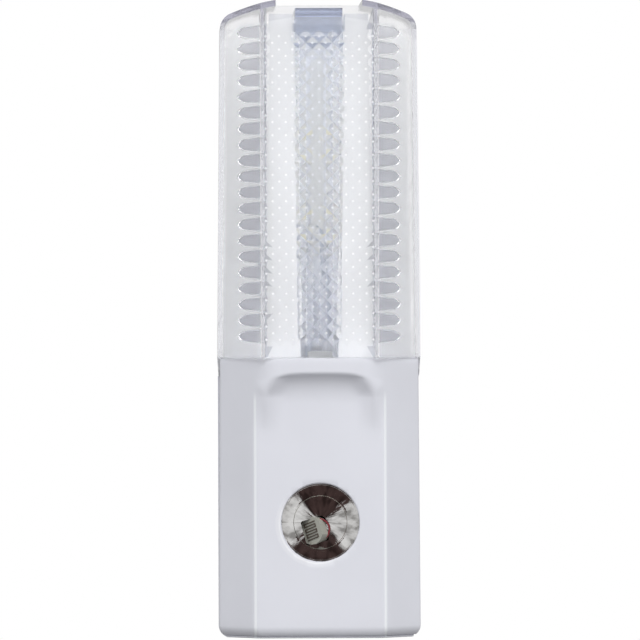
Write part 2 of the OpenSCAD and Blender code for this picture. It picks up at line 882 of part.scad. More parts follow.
// Bright cup around the photocell: a shallow outer ring, a step and a steeper cone
module sensor_cup() {
    r0 = cup_d / 2;
    r1 = cup_step_d / 2;
    r2 = cup_floor_d / 2;
    ring = 1.6;
    flange = inner_front_y - panel_y + 2 * seat_gap;
    color("silver")
    translate([0, panel_y, sensor_z])
        rotate([-90, 0, 0])
            rotate_extrude()
                polygon([[r0 - 0.3, 0], [r0, 0], [r0, flange], [r0 + 1.0, flange], [r0 + 1.0, flange + cup_t],
                         [r1 + 2 * cup_t, flange + cup_t], [r2 + cup_t, cup_depth], [r2, cup_depth],
                         [r1 - 0.2, ring], [r1, ring - 0.2]]);
}

// Puts its children at the photocell's middle: they face -Y before it is turned and leaned
module at_cell() {
    translate(cell_mid)
        rotate([0, 0, -cell_turn])
            rotate([0, -cell_lean, 0])
                children();
}

// Ceramic body of the photocell: a disc with two flats
module photocell_body() {
    color("darkkhaki")
    at_cell()
        intersection() {
            bar_y(0, 0, cell_d / 2, -cell_t / 2, cell_t / 2);
            box(-cell_flat / 2, cell_flat / 2, -cell_t, cell_t, -cell_d, cell_d);
        }
}

track_t = 0.12;
track_lanes = 7;
track_pitch = 0.5;
track_w = 0.2;
track_len = 2.6;

// Dark winding track on the photocell's face
module photocell_track() {
    face = -cell_t / 2 - seat_gap;
    color("maroon")
    at_cell()
        union() {
            for (i = [0 : track_lanes - 1])
                translate([0, face - track_t / 2, (i - (track_lanes - 1) / 2) * track_pitch])
                    cube([track_len, track_t, track_w], center = true);
            for (i = [0 : track_lanes - 2])
                translate([(i % 2 == 0 ? 1 : -1) * (track_len - track_w) / 2, face - track_t / 2,
                           (i + 0.5 - (track_lanes - 1) / 2) * track_pitch])
                    cube([track_w, track_t, track_pitch], center = true);
        }
}

// The photocell's two legs, through the main board
module photocell_leads() {
    color("silver")
    for (s = [-1, 1])
        bar_y(lead_at(s)[0], lead_at(s)[2], lead_r, lead_at(s)[1], board_back_y + 0.8);
}

// Red sleeve on the right leg
module lead_sleeve() {
    p = lead_at(1);
    color("red")
    difference() {
        bar_y(p[0], p[2], lead_r + 0.3, p[1] + 0.3, board_front_y - seat_gap);
        bar_y(p[0], p[2], lead_r + seat_gap, p[1] - 1, board_back_y);
    }
}

// Two contact pins: a thick bare tip, a thinner core and a head inside the plug body
module plug_pins() {
    color("lightgray")
    on_pins()
        union() {
            translate([0, 0, sleeve_len + seat_gap])
                cylinder(r = pin_r, h = pin_len - pin_r - sleeve_len - seat_gap);
            translate([0, 0, pin_len - pin_r])
                sphere(r = pin_r);
            translate([0, 0, pin_floor - 2 * pin_head_gap])
                cylinder(r = core_r, h = sleeve_len + 1 - pin_floor);
            translate([0, 0, pin_floor - pin_head_gap - pin_head_t])
                cylinder(r = pin_head_r, h = pin_head_t);
        }
}

// Insulating sleeves, rooted in the plug body
module pin_sleeves() {
    color([0.25, 0.25, 0.27])
    on_pins()
        difference() {
            translate([0, 0, -sleeve_root])
                cylinder(r = sleeve_r, h = sleeve_root + sleeve_len);
            translate([0, 0, -big / 2])
                cylinder(r = core_r + seat_gap, h = big);
        }
}

tab_len = 8.5;
tab_half = 2.0;
tab_t = 0.6;
tab_x = pin_pitch / 2 + (stub_depth + wall) * tan(pin_angle);
tab_y = inner_back_y - pin_head_t - 2 * pin_head_gap;

// Brass tabs on the pin heads that take the mains wires
module contact_tabs() {
    color("gold")
    for (s = [-1, 1])
        box(s * tab_x - tab_half, s * tab_x + tab_half, tab_y - tab_t, tab_y, -tab_len, tab_half);
}

// A wire from a contact tab to the back of the main board
module mains_wire(s) {
    y = tab_y - tab_t - seat_gap - wire_r;
    bend = 3 * wire_r;
    end_z = -tab_len - 1.5 * bend;
    union() {
        translate([s * tab_x, y, end_z + bend])
            cylinder(r = wire_r, h = 2.5 - tab_len - end_z - bend);
        translate([s * tab_x, y - bend, end_z + bend])
            rotate([0, 90, 0])
                rotate_extrude(angle = 90)
                    translate([bend, 0])
                        circle(r = wire_r);
        bar_y(s * tab_x, end_z, wire_r, board_back_y + seat_gap, y - bend);
    }
}

module live_wire() {
    color("saddlebrown")
        mains_wire(-1);
}

module neutral_wire() {
    color("blue")
        mains_wire(1);
}

// Screws that hold the two housings together, put in from the wall side
module housing_screws() {
    color("silver")
    for (p = screw_spots)
        difference() {
            union() {
                bar_y(p[0], p[1], head_r, head_y + seat_gap, head_y + seat_gap + head_t);
                bar_y(p[0], p[1], screw_r, head_y - screw_len, head_y + 2 * seat_gap);
            }
            box(p[0] - 0.4, p[0] + 0.4, head_y + head_t - 1, wall_y + eps, p[1] - 1.5, p[1] + 1.5);
            box(p[0] - 1.5, p[0] + 1.5, head_y + head_t - 1, wall_y + eps, p[1] - 0.4, p[1] + 0.4);
        }
}

front_housing();
rear_housing();
backplate();
shade();
shade_latch();
reflector();
led_board();
led_packages();
led_phosphors();
led_wire_pos();
led_wire_neg();
main_board();
dropper_capacitor();
smoothing_capacitor();
rectifier_diodes();
fusible_resistor();
bleed_resistors();
switching_transistor();
sensor_cup();
photocell_body();
photocell_track();
photocell_leads();
lead_sleeve();
plug_body();
plug_pins();
pin_sleeves();
contact_tabs();
live_wire();
neutral_wire();
housing_screws();
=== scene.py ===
import json
import math

import bmesh
import bpy
from mathutils import Matrix, Vector


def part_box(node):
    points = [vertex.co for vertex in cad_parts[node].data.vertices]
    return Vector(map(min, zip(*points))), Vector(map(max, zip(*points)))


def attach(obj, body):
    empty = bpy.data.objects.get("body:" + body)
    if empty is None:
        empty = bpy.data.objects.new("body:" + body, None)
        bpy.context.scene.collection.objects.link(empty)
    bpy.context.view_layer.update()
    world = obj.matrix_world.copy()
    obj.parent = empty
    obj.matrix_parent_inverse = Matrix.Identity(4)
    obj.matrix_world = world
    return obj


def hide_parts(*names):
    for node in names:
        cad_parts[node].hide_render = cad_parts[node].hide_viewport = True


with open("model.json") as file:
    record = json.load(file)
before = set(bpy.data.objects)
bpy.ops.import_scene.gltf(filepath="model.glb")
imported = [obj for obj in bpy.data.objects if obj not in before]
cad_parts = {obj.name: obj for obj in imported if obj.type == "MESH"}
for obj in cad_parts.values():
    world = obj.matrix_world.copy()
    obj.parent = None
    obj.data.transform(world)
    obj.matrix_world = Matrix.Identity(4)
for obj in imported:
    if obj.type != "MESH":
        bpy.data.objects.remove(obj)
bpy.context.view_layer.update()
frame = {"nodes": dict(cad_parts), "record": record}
nodes = frame["nodes"]

MM = 0.001  # the scene is in metres, and the sizes below are in millimetres where they don't say otherwise


# ---------------------------------------------------------------- sizes, from the frame

def low(node):
    """A node's lowest corner at rest, in millimetres."""
    return [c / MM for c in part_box(node)[0]]


def high(node):
    """A node's highest corner at rest, in millimetres."""
    return [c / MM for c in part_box(node)[1]]


HALF_W = high("front_housing")[0]
FRONT_Y = low("front_housing")[1]
FOOT_Z = low("front_housing")[2]
JOINT_Z = high("rear_housing")[2]
WALL_Y = high("rear_housing")[1]
SEAM_Y = WALL_Y - 5.0  # between the two halves of the base
PANEL_Y = low("sensor_cup")[1]
SENSOR_Z = (low("sensor_cup")[2] + high("sensor_cup")[2]) / 2
SHADE_TOP_Z = high("shade")[2] + 0.25  # the crown is a little higher than the solid's
SHADE_HALF = HALF_W + 0.2

# Cutters
PAST = 1.0  # how far a cutter goes past what it cuts
FAR_X = 30  # beyond the object at both sides
FAR_Y = -60  # in front of it
FAR_Z = 120  # above it
BACK_Y = 0  # behind the shade
PLAN_BACK_Y = WALL_Y + 5
BELOW_Z = 0  # below the joint
AXIS_R = 0.001  # radius of a turned outline on its axis
FILLET_STEPS = 6

# Base
BEVEL_W = 7.75
BEVEL_DEPTH = 10.0
SLOPE = BEVEL_DEPTH / BEVEL_W
BEVEL_TURN = math.atan2(BEVEL_W, BEVEL_DEPTH)
FLAT_HALF = HALF_W - BEVEL_W
BASE_FLAT_HALF = FLAT_HALF - 0.7
FACET_SLOPE = BEVEL_DEPTH / (HALF_W - BASE_FLAT_HALF)
PANEL_HALF = BASE_FLAT_HALF + (PANEL_Y - FRONT_Y) / FACET_SLOPE
PANEL_SOFT = 0.5
SIDE_R = 1.2
FLAT_R = 0.9
WALL = 2.0

# Recess: a ledge, an arch under it, and a cove from the arch down to the panel
LEDGE_H = 3.1
LEDGE_SOFT = 2.4
FACET_SOFT = 0.4
SOFT_FROM = 3.5  # from here below the joint to SOFT_OVER further down, LEDGE_SOFT turns into FACET_SOFT
SOFT_OVER = 4
ARCH_HALF = 12.6
ARCH_DROP = 3.3
ARCH_POWER = 3.7
ARCH_SOFT = 1.3
COVE_H = 5.2
COVE_END = 7.34
COVE_MIDDLE = 5.5  # the cove is round up to here from the centre, and turns into slopes over COVE_BLEND
COVE_BLEND = 3.5
COVE_ABOVE = 2  # how fast the cove's depth would go on falling above the arch
FADE_X = 6.0  # from here outwards over FADE_W the slopes get longer by up to FADE_TAIL, so that they fade
FADE_W = 6.0
FADE_TAIL = 7
FADE_LEAST = 0.2

# Base's taper, edges and foot
BASE_TAPER = 0.014  # from TAPER_FROM up over TAPER_H
TAPER_FROM = -22
TAPER_H = 44
EDGE_X = PANEL_HALF * (1 - BASE_TAPER * 0.55)  # the panel's side edge, halfway up the taper
EDGE_FROM = 6.0  # the painted highlight line on it starts here below the joint, and is full EDGE_BLEND further down
EDGE_BLEND = 2.0
EDGE_HIGHLIGHT_STOPS = ((0.14, 1), (0.3, 0))  # (distance from the edge, strength)
BASE_BOTTOM_Z = FOOT_Z + 0.5
FOOT_R = 2.2
FOOT_START = 38
FOOT_STEPS = 8
FOOT_LIP = ((0, 1.5), (0.06, 1.3), (0.36, 1.25), (0.4, 1.6), (0.44, 1.6))  # (height, inset)
TOP_EDGE = ((1.2, 0), (0.3, 0), (0.12, 0.05), (0, 0.25))  # (depth below the joint, inset)

# Base's mesh
FINE_HALF = PANEL_HALF + 2  # it is fine up to here from the centre
FINE_STEP = 0.25
COARSE_STEP = 0.8
FINE_FROM = 13  # and from here below the joint up to FINE_TO below it
FINE_TO = 1.8
FINE_ROWS = 100
COARSE_ROWS = 24

# Wires' passage in the base's top, pockets for the skirts, and the tab in the shade's slot
PASSAGE_HALF = 3.2
PASSAGE_Y = -24.69
POCKET_W = 5
POCKET_GAP = 0.1
TAB_HALF = 2.3
TAB_GAP = 0.1
TAB_BACK = 1.5
TAB_ROOT = 0.5
TAB_H = 1.2
TAB_R = 0.15

# Sensor
CUP_HOLE_R = 7.08
HOLE_SIDES = 96
HOLE_RIM = ((0.4, -3), (0.4, -0.05), (0.25, 0.02), (0.1, 0.12), (0, 0.35))  # (past the radius, depth)
CUP_HIGHLIGHT_X = -0.35  # the painted highlight ring's centre, from the sensor's
CUP_HIGHLIGHT_Z = -0.35
CUP_HIGHLIGHT_RING = ((6.9, 0), (7.1, 0.9), (7.35, 0.3), (7.75, 0.22), (8.0, 0))  # (radius, strength)
CUP_HIGHLIGHT_LEFT = 1.2  # how much the painted highlight keeps to the left, and to below
CUP_HIGHLIGHT_DOWN = 0.9
CUP_R = 7.15
CUP_RING_R = 5.1
CUP_THROAT_R = 1.2
CUP_BACK_R = 3.6
CUP_WALL = 0.5
CUP_FLOOR = 0.6
CUP_STEP = 1.0  # this, the cone and the skirt are depths behind the panel
CUP_CONE = 2.05
CUP_SKIRT = 2.0
CUP_NECK = (CUP_RING_R + 0.6, 2.4)  # (radius, depth)
CUP_DEPTH = 5.6
CUP_EDGE_OUT = ((-0.28, 0), (-0.1, 0.03), (0, 0.15))  # (past CUP_R, depth)
CUP_EDGE_IN = ((-0.45, 0.1), (-0.36, 0.02))
CUP_STEP_EDGE = (  # (past CUP_RING_R, past CUP_STEP)
    (-0.3, 0.2), (-0.22, 0.06), (-0.12, -0.05), (0, -0.08), (0.16, -0.09), (0.2, -0.14))
CUP_SIDES = 128
OPENING_LEAN = 0.8 * 19  # most of the photocell's own lean
OPENING_GAP = (0.1, 0.15)  # across and up, as OPENING_PART is
OPENING_PART = (0.86, 0.96)
OPENING_R = 0.4
OPENING_FROM = 0.5
OPENING_TO = 5
SLEEVE_X = -0.3
SLEEVE_Z = -4.62
SLEEVE_Y = PANEL_Y + 1.75
SLEEVE_BEND = 1.95
SLEEVE_R = 0.17
SLEEVE_FROM = 85  # in degrees, from the right upwards
SLEEVE_TO = -75
SLEEVE_STEPS = 40
SLEEVE_SIDES = 12

# Shade
SHADE_WALL = 1.5
SHADE_TOP_WALL = 1.1
SHADE_BOT_Z = JOINT_Z + 0.02
SHADE_TOP_HALF = SHADE_HALF - 0.7
SHADE_R = 0.9
SHADE_R_IN = 0.5
SHADE_EDGE = 0.18
NOTCH_HALF = 7.9
NOTCH_Z = SHADE_TOP_Z - 1.1
NOTCH_EDGE_Z = NOTCH_Z - 0.25  # the notch's edge is painted darker, as shade, down and back to here
NOTCH_EDGE_Y = FRONT_Y + 1
WINDOW_H = 2
SLOT_HALF = 3.9
SLOT_H = 1.4
SLOT_SKIN = 0.6
SLOT_PAST = 0.5
LIP = 1.0
LIP_END = 1  # how far the lips stop before the backplate's top and start above the shade's lower edge
SKIRT_Z = low("shade")[2]
SKIRT_T = 1.0
SKIRT_TAPER = 0.017
SKIRT_TAPER_Z = JOINT_Z + 1  # the skirts narrow from here down over SKIRT_TAPER_H
SKIRT_TAPER_H = 4
SKIRT_Y = -35.24
SKIRT_CUT = 2.1
SKIRT_ROOT = 2
SKIRT_FROST_Z = JOINT_Z - 0.3
CROWN_R = 46.0
CROWN_Z = SHADE_TOP_Z - math.sqrt(CROWN_R ** 2 - NOTCH_HALF ** 2)
CROWN_STEPS = 24
SHOULDER_R = 3.0
SHOULDER_STEPS = 8
RIM_FROM = 40  # the rim's painted shade lies within RIM_W from here, from the crown's centre
RIM_W = 6
RIM_FACING = 0.4

# Ribs and knurl
RIB_COUNT = 20
RIB_PITCH = 2.92
RIB_Z = JOINT_Z + 3.95
RIB_R = 1.1
RIB_R_IN = 1.3
RIB_H = 0.55
RIB_FROM = 0.3
RIB_TO = 7.1
RIB_NOSE = 3.2
RIB_POINT = 2.2  # two powers that shape the nose
RIB_ROUND = 0.75
RIB_STEPS = 10
RIB_ROOT = 0.4
RIB_EDGE = ((0.2, 0), (0.06, 0.06), (0, 0.2))  # (below the top, inset)
RIB_TOP = (RIB_H - 0.15, RIB_H + 0.02)  # between these depths a face belongs to a rib's top
RIB_FACING = 0.5
KNURL_PITCH_X = 2.44
KNURL_PITCH_Z = 2.41
KNURL_COLUMNS = 18
KNURL_FROM = 2.1
KNURL_GAP = 0.1
KNURL_ROOT = 0.4
KNURL_VALLEY = 0.02
KNURL_DEPTH = 0.4
KNURL_TOP_DEPTH = 0.25
KNURL_DEEP_TO = 12.0
KNURL_SHALLOW_FROM = 22.0
KNURL_TIP = 0.8  # the part of its height at which a pyramid is cut off
TIP_NEAR = 0.01
TIP_FACING = 0.99
CORNER_X = 9.3  # the front wall's inner side is painted darker, as shade in its corners, from here outwards
CORNER_BACK = -0.05
CORNER_FACING = 0.3

# Camera, light and floor
VIEW_W = 117.5  # width of the picture at the object
VIEW_FROM = 1600.0
VIEW_TURN = 1  # in degrees, as the roll is
VIEW_ROLL = 0.19
VIEW_AT = (0.175, FRONT_Y + BEVEL_DEPTH, 33.7)
FILM_W = 36
CLIP = (0.05, 50)  # in metres
WORLD_COLOUR = (0.97, 0.98, 1.0)
WORLD_LIGHT = 0.6
GLASS_LIGHT = 2.45  # from the front, on what stands inside the shade, which the lamps don't reach
FRONT_FADE = ((0.25, 1), (0.8, 0))  # (0 in front to 1 behind, share of GLASS_LIGHT)
ROOM_LIGHT = (0.66, 0.66, 0.66)  # of the room that metal sees
ROOM_DARK = (0.055, 0.035, 0.033)
ROOM_EDGE = (0.58, 0.69)
ROOM_MIDDLE = 4.0  # how fast the dark parts set in beside its middle
ROOM_SKEW = 0.15
ROOM_WIDEN = -0.28
ROOM_SHIFT = 0.24
NEVER_ZERO = 0.001
FLOOR_HALF = 3.0  # in metres, as the floor's height is
FLOOR_Z = -0.35
FLOOR_PALE = (0.84, 0.84, 0.84)
FLOOR_DIM = (0.3, 0.3, 0.3)
KEY = ("key", (0.14, -1.1, 1.15), (0.7, 0.7), 13)  # name, place and size in metres, power
STRIPS = (("strip_left", (-1.0, -0.8, 0.04), (0.12, 1.0), 1.6),
          ("strip_right", (1.0, -0.8, 0.04), (0.12, 1.0), 1.8))


# ---------------------------------------------------------------- mesh helpers

def add_mesh(name, verts, faces):
    """A new object from points in millimetres."""
    mesh = bpy.data.meshes.new(name)
    mesh.from_pydata([Vector(v) * MM for v in verts], [], faces)
    obj = bpy.data.objects.new(name, mesh)
    bpy.context.scene.collection.objects.link(obj)
    face_out(obj)
    return obj


def edit_faces(obj, change):
    """Runs one of Blender's mesh operations on all of an object's faces."""
    bm = bmesh.new()
    bm.from_mesh(obj.data)
    change(bm, faces=bm.faces)
    bm.to_mesh(obj.data)
    bm.free()


def face_out(obj):
    """Turns the normals outwards."""
    edit_faces(obj, bmesh.ops.recalc_face_normals)


def soften(obj, degrees):
    """Smooth shading, sharp only across edges steeper than degrees."""
    obj.data.shade_smooth()
    obj.data.set_sharp_from_angle(angle=math.radians(degrees))


def settle(obj):
    """Makes the object's modifiers part of its mesh."""
    graph = bpy.context.evaluated_depsgraph_get()
    mesh = bpy.data.meshes.new_from_object(obj.evaluated_get(graph))
    obj.modifiers.clear()
    obj.data = mesh


def paint(obj, names, choose):
    """Gives each face the material that choose names from its centre in millimetres and its normal."""
    obj.data.materials.clear()
    for name in names:
        obj.data.materials.append(MATERIALS[name])
    for face in obj.data.polygons:
        face.material_index = names.index(choose(face.center / MM, face.normal))


def split(obj):
    """Splits every face into triangles, so that a cut leaves no face with a hole."""
    edit_faces(obj, bmesh.ops.triangulate)


def combine(obj, *others, how="DIFFERENCE"):
    """Cuts the others from obj, or joins or intersects them with it, and removes them."""
    for other in others:
        split(obj)
        split(other)
        mod = obj.modifiers.new("combine", "BOOLEAN")
        mod.operation = how
        mod.solver = "MANIFOLD"
        mod.object = other
        settle(obj)
        bpy.data.objects.remove(other)
    return obj


def round_edges(obj, width, degrees):
    """Rounds the edges that are steeper than degrees."""
    mod = obj.modifiers.new("round", "BEVEL")
    mod.width = width * MM
    mod.segments = 2
    mod.limit_method = "ANGLE"
    mod.angle_limit = math.radians(degrees)
    settle(obj)


def prism(name, outline, axis, start, end):
    """A closed prism from an outline in the two other axes, taken in the order x, y, z."""
    def corner(p, d):
        return {"x": (d, p[0], p[1]), "y": (p[0], d, p[1]), "z": (p[0], p[1], d)}[axis]
    n = len(outline)
    verts = [corner(p, start) for p in outline] + [corner(p, end) for p in outline]
    faces = [list(range(n)), list(range(2 * n - 1, n - 1, -1))]
    faces += [[i, (i + 1) % n, n + (i + 1) % n, n + i] for i in range(n)]
    return add_mesh(name, verts, faces)


def block(name, x0, x1, y0, y1, z0, z1):
    """A box between two corners."""
    return prism(name, [(x0, y0), (x1, y0), (x1, y1), (x0, y1)], "z", z0, z1)


def lathe(name, profile, centre, steps):
    """A solid turned about an axis along Y. The profile is (radius, depth behind the centre)."""
    verts, faces = [], []
    n = len(profile)
    for i in range(steps):
        a = 2 * math.pi * i / steps
        for r, d in profile:
            verts.append((centre[0] + r * math.cos(a), centre[1] + d, centre[2] + r * math.sin(a)))
    for i in range(steps):
        for j in range(n):
            a, b = i * n, (i + 1) % steps * n
            faces.append([a + j, a + (j + 1) % n, b + (j + 1) % n, b + j])
    return add_mesh(name, verts, faces)


def side_faces(count, n):
    """The faces between count rings of n points each."""
    faces = []
    for k in range(count - 1):
        for i in range(n):
            j = (i + 1) % n
            faces.append([k * n + i, k * n + j, (k + 1) * n + j, (k + 1) * n + i])
    return faces


def end_faces(count, n):
    """The faces that close the first and the last of count rings of n points each."""
    return [list(range(n)), list(range(count * n - 1, count * n - n - 1, -1))]


def loft(name, rings):
    """A closed solid through rings of as many points each."""
    n = len(rings[0])
    verts = [p for ring in rings for p in ring]
    return add_mesh(name, verts, end_faces(len(rings), n) + side_faces(len(rings), n))


def filleted(corners):
    """An outline with round corners, from corners of (x, y, radius)."""
    out = []
    for i, (x, y, r) in enumerate(corners):
        p = Vector((x, y))
        if r == 0:
            out.append((x, y))
            continue
        a = (Vector(corners[i - 1][:2]) - p).normalized()
        b = (Vector(corners[(i + 1) % len(corners)][:2]) - p).normalized()
        half = a.angle(b) / 2
        centre = p + (a + b).normalized() * (r / math.sin(half))
        start = p + a * (r / math.tan(half)) - centre
        end = p + b * (r / math.tan(half)) - centre
        turn = start.angle_signed(end)
        for k in range(FILLET_STEPS + 1):
            spoke = start.copy()
            spoke.rotate(Matrix.Rotation(-turn * k / FILLET_STEPS, 2))
            out.append(tuple(centre + spoke))
    return out


def smooth_max(a, b, k):
    """The larger of a and b, blended over k where they are near."""
    h = max(k - abs(a - b), 0) / k
    return max(a, b) + h * h * k / 4


def narrow(obj, factor):
    """Scales the points' x by a factor of their height."""
    for v in obj.data.vertices:
        v.co.x *= factor(v.co.z / MM)


def spread(start, end, count):
    """Evenly spaced values from start to end, both included."""
    return [start + (end - start) * i / count for i in range(count + 1)]


def inner_shift(slope, wall):
    """How far a corner between a front and its bevel moves inwards, a wall's thickness behind them."""
    return wall * (math.sqrt(1 + slope * slope) - 1) / slope


def clamp(t):
    """t kept between 0 and 1."""
    return min(max(t, 0), 1)


def ease(t):
    """A smooth step from 0 to 1."""
    t = clamp(t)
    return t * t * (3 - 2 * t)


# ---------------------------------------------------------------- front of the base

def arch_z(x):
    """Height of the recess's upper edge, which turns down towards both sides."""
    return JOINT_Z - LEDGE_H - ARCH_DROP * (abs(x) / ARCH_HALF) ** ARCH_POWER


def front_at(x, soft):
    """The front plane and the facets beside it, with the corner between them rounded over soft."""
    past = abs(x) - BASE_FLAT_HALF
    if abs(past) < soft:
        past = (past + soft) ** 2 / (4 * soft)
    return FRONT_Y + max(past, 0) * FACET_SLOPE


def sunk(x, z):
    """How far the recess has gone from the front, 0, to the panel, 1: a cove that fades at its ends."""
    depth = PANEL_Y - FRONT_Y
    below = arch_z(x) - z
    t = min(below / COVE_H, 1)
    drop = depth * math.sqrt(1 - (1 - t) ** 2) if t > 0 else below * COVE_ABOVE
    middle = min(smooth_max(0, drop, ARCH_SOFT) / depth, 1)
    below += ARCH_SOFT / 2
    end = arch_z(x) + ARCH_SOFT / 2 - (JOINT_Z - COVE_END)
    near = max(clamp(1 - (abs(x) - FADE_X) / FADE_W), FADE_LEAST)
    side = near * ease(below / end) + (1 - near) * ease(below / (end + FADE_TAIL))
    fade = ease((abs(x) - COVE_MIDDLE) / COVE_BLEND)
    return middle + (side - middle) * fade


def base_y(x, z):
    """The front of the base: the ledge, the facets, the panel and the cove above it."""
    soft = LEDGE_SOFT + (FACET_SOFT - LEDGE_SOFT) * ease((JOINT_Z - SOFT_FROM - z) / SOFT_OVER)
    front = front_at(x, soft)
    return front + (smooth_max(front, PANEL_Y, PANEL_SOFT) - front) * sunk(x, z)


def base_ring():
    """Outline of the base seen from above, from the left seam round the front."""
    bevel_y = FRONT_Y + BEVEL_DEPTH
    bend = filleted([(-HALF_W, SEAM_Y, 0), (-HALF_W, bevel_y, SIDE_R), (-BASE_FLAT_HALF, FRONT_Y, FLAT_R),
                     (BASE_FLAT_HALF, FRONT_Y, FLAT_R), (HALF_W, bevel_y, SIDE_R), (HALF_W, SEAM_Y, 0)])
    out = []
    for a, b in zip(bend, bend[1:]):
        step = FINE_STEP if max(abs(a[0]), abs(b[0])) < FINE_HALF else COARSE_STEP
        count = max(1, round(math.dist(a, b) / step))
        for k in range(count):
            out.append((a[0] + (b[0] - a[0]) * k / count, a[1] + (b[1] - a[1]) * k / count))
    out.append(bend[-1])
    return out


def base_rows():
    """Heights of the rings and how far each is drawn in."""
    rows = [(BASE_BOTTOM_Z + up, inset) for up, inset in FOOT_LIP]
    for a in spread(math.radians(FOOT_START), math.pi / 2, FOOT_STEPS):
        rows.append((BASE_BOTTOM_Z + FOOT_R * (1 - math.cos(a)), FOOT_R * (1 - math.sin(a))))
    fine = JOINT_Z - FINE_FROM
    rows += [(z, 0) for z in spread(BASE_BOTTOM_Z + FOOT_R, fine, COARSE_ROWS)[1:]]
    rows += [(z, 0) for z in spread(fine, JOINT_Z - FINE_TO, FINE_ROWS)[1:]]
    return rows + [(JOINT_Z - down, inset) for down, inset in TOP_EDGE]


def base_solid():
    """The outside of the front half of the base."""
    ring = base_ring()
    rings = []
    for z, inset in base_rows():
        row = []
        for x, y in ring:
            if abs(x) < FINE_HALF:
                y = base_y(x, z)
            row.append((x * (1 - inset / HALF_W), y + inset * (SEAM_Y - y) / (SEAM_Y - FRONT_Y), z))
        rings.append(row)
    return loft("front_shell", rings)


def base_cavity():
    """The cutter of the room inside the front half."""
    side_x = HALF_W - WALL
    back_y = SEAM_Y + PAST
    floor_y = PANEL_Y + WALL
    inner_a = PANEL_HALF - inner_shift(FACET_SLOPE, WALL)
    side_y = floor_y + (side_x - inner_a) * FACET_SLOPE
    outline = [(-side_x, back_y), (-side_x, side_y), (-inner_a, floor_y),
               (inner_a, floor_y), (side_x, side_y), (side_x, back_y)]
    return prism("inner", outline, "z", FOOT_Z + WALL, JOINT_Z - WALL)


def skirt_pocket(side):
    """The cutter of the pocket that takes one of the shade's skirts."""
    x = SHADE_HALF - SKIRT_T - POCKET_GAP
    return block("pocket", side * x, side * (x + POCKET_W), SKIRT_Y - POCKET_GAP, SEAM_Y + PAST,
                 SKIRT_Z - POCKET_GAP, JOINT_Z + PAST)


def cup_hole():
    """The cutter of the cup's round hole, with a soft rim."""
    profile = [(AXIS_R, HOLE_RIM[0][1])] + [(CUP_HOLE_R + out, depth) for out, depth in HOLE_RIM]
    profile += [(CUP_HOLE_R, WALL + PAST), (AXIS_R, WALL + PAST)]
    return lathe("hole", profile, (0, PANEL_Y, SENSOR_Z), HOLE_SIDES)


def front_tab():
    """The tab on the base that stands in the shade's slot."""
    obj = block("tab", -TAB_HALF, TAB_HALF, FRONT_Y + SLOT_SKIN + TAB_GAP, FRONT_Y + TAB_BACK,
                JOINT_Z - TAB_ROOT, JOINT_Z + TAB_H)
    round_edges(obj, TAB_R, degrees=30)
    return obj


def build_front_housing():
    """The hollow front half of the base, narrower towards its top."""
    obj = base_solid()
    passage = block("passage", -PASSAGE_HALF, PASSAGE_HALF, PASSAGE_Y, SEAM_Y + PAST,
                    JOINT_Z - WALL - PAST, JOINT_Z + PAST)
    combine(obj, base_cavity(), passage, cup_hole(), skirt_pocket(-1), skirt_pocket(1))
    narrow(obj, lambda z: 1 - BASE_TAPER * clamp((z - TAPER_FROM) / TAPER_H))
    combine(obj, front_tab(), how="UNION")
    soften(obj, degrees=35)
    # the tab, above the joint, gets a painted shade
    paint(obj, ("white_shell", "tab_grey"), lambda c, n: "tab_grey" if c.z > SHADE_BOT_Z else "white_shell")
    return obj


# ---------------------------------------------------------------- shade

def shade_front_view(inset, bottom, top_inset=None):
    """Front view of the shade: drafted sides, two shoulders and an arched top."""
    top_inset = inset if top_inset is None else top_inset
    draft = (SHADE_HALF - SHADE_TOP_HALF) / (SHADE_TOP_Z - JOINT_Z)
    foot_x = SHADE_HALF - inset + (JOINT_Z - bottom) * draft
    r = SHOULDER_R - inset / 2
    crown = CROWN_R - top_inset
    x_at = SHADE_TOP_HALF - inset - r
    z_at = CROWN_Z + math.sqrt((crown - r) ** 2 - x_at ** 2)
    side_x = SHADE_HALF - inset - (z_at - JOINT_Z) * draft - r
    z_at = CROWN_Z + math.sqrt((crown - r) ** 2 - side_x ** 2)
    lean = math.asin(side_x / (crown - r))
    half = [(foot_x, bottom)]
    for a in spread(0, math.pi / 2 - lean, SHOULDER_STEPS):
        half.append((side_x + r * math.cos(a), z_at + r * math.sin(a)))
    for a in spread(lean, 0, CROWN_STEPS)[1:]:
        half.append((crown * math.sin(a), CROWN_Z + crown * math.cos(a)))
    return [(-x, z) for x, z in half] + [(x, z) for x, z in reversed(half[:-1])]


def shade_plan(inset, radius):
    """Plan of the shade's front and bevels, wider than its sides, which the front view cuts."""
    a = FLAT_HALF - inner_shift(SLOPE, inset)
    y = FRONT_Y + inset
    side_y = y + (FAR_X - a) * SLOPE
    return filleted([(-FAR_X, PLAN_BACK_Y, 0), (-FAR_X, side_y, 0), (-a, y, radius),
                     (a, y, radius), (FAR_X, side_y, 0), (FAR_X, PLAN_BACK_Y, 0)])


def shade_cap():
    """The hollow shade without its skirts: front, bevels, sides and arched top."""
    outer = prism("shade_shell", shade_front_view(0, SHADE_BOT_Z), "y", FRONT_Y - PAST, WALL_Y)
    combine(outer, prism("plan", shade_plan(0, SHADE_R), "z", BELOW_Z, FAR_Z), how="INTERSECT")
    inner = prism("inner", shade_front_view(SHADE_WALL, SHADE_BOT_Z - PAST, SHADE_TOP_WALL),
                  "y", FRONT_Y, WALL_Y + PAST)
    combine(inner, prism("plan", shade_plan(SHADE_WALL, SHADE_R_IN), "z", BELOW_Z, FAR_Z), how="INTERSECT")
    return combine(outer, inner)


def all_above(z):
    """The cutter of everything above a height."""
    return block("above", -FAR_X, FAR_X, FAR_Y, BACK_Y, z, FAR_Z)


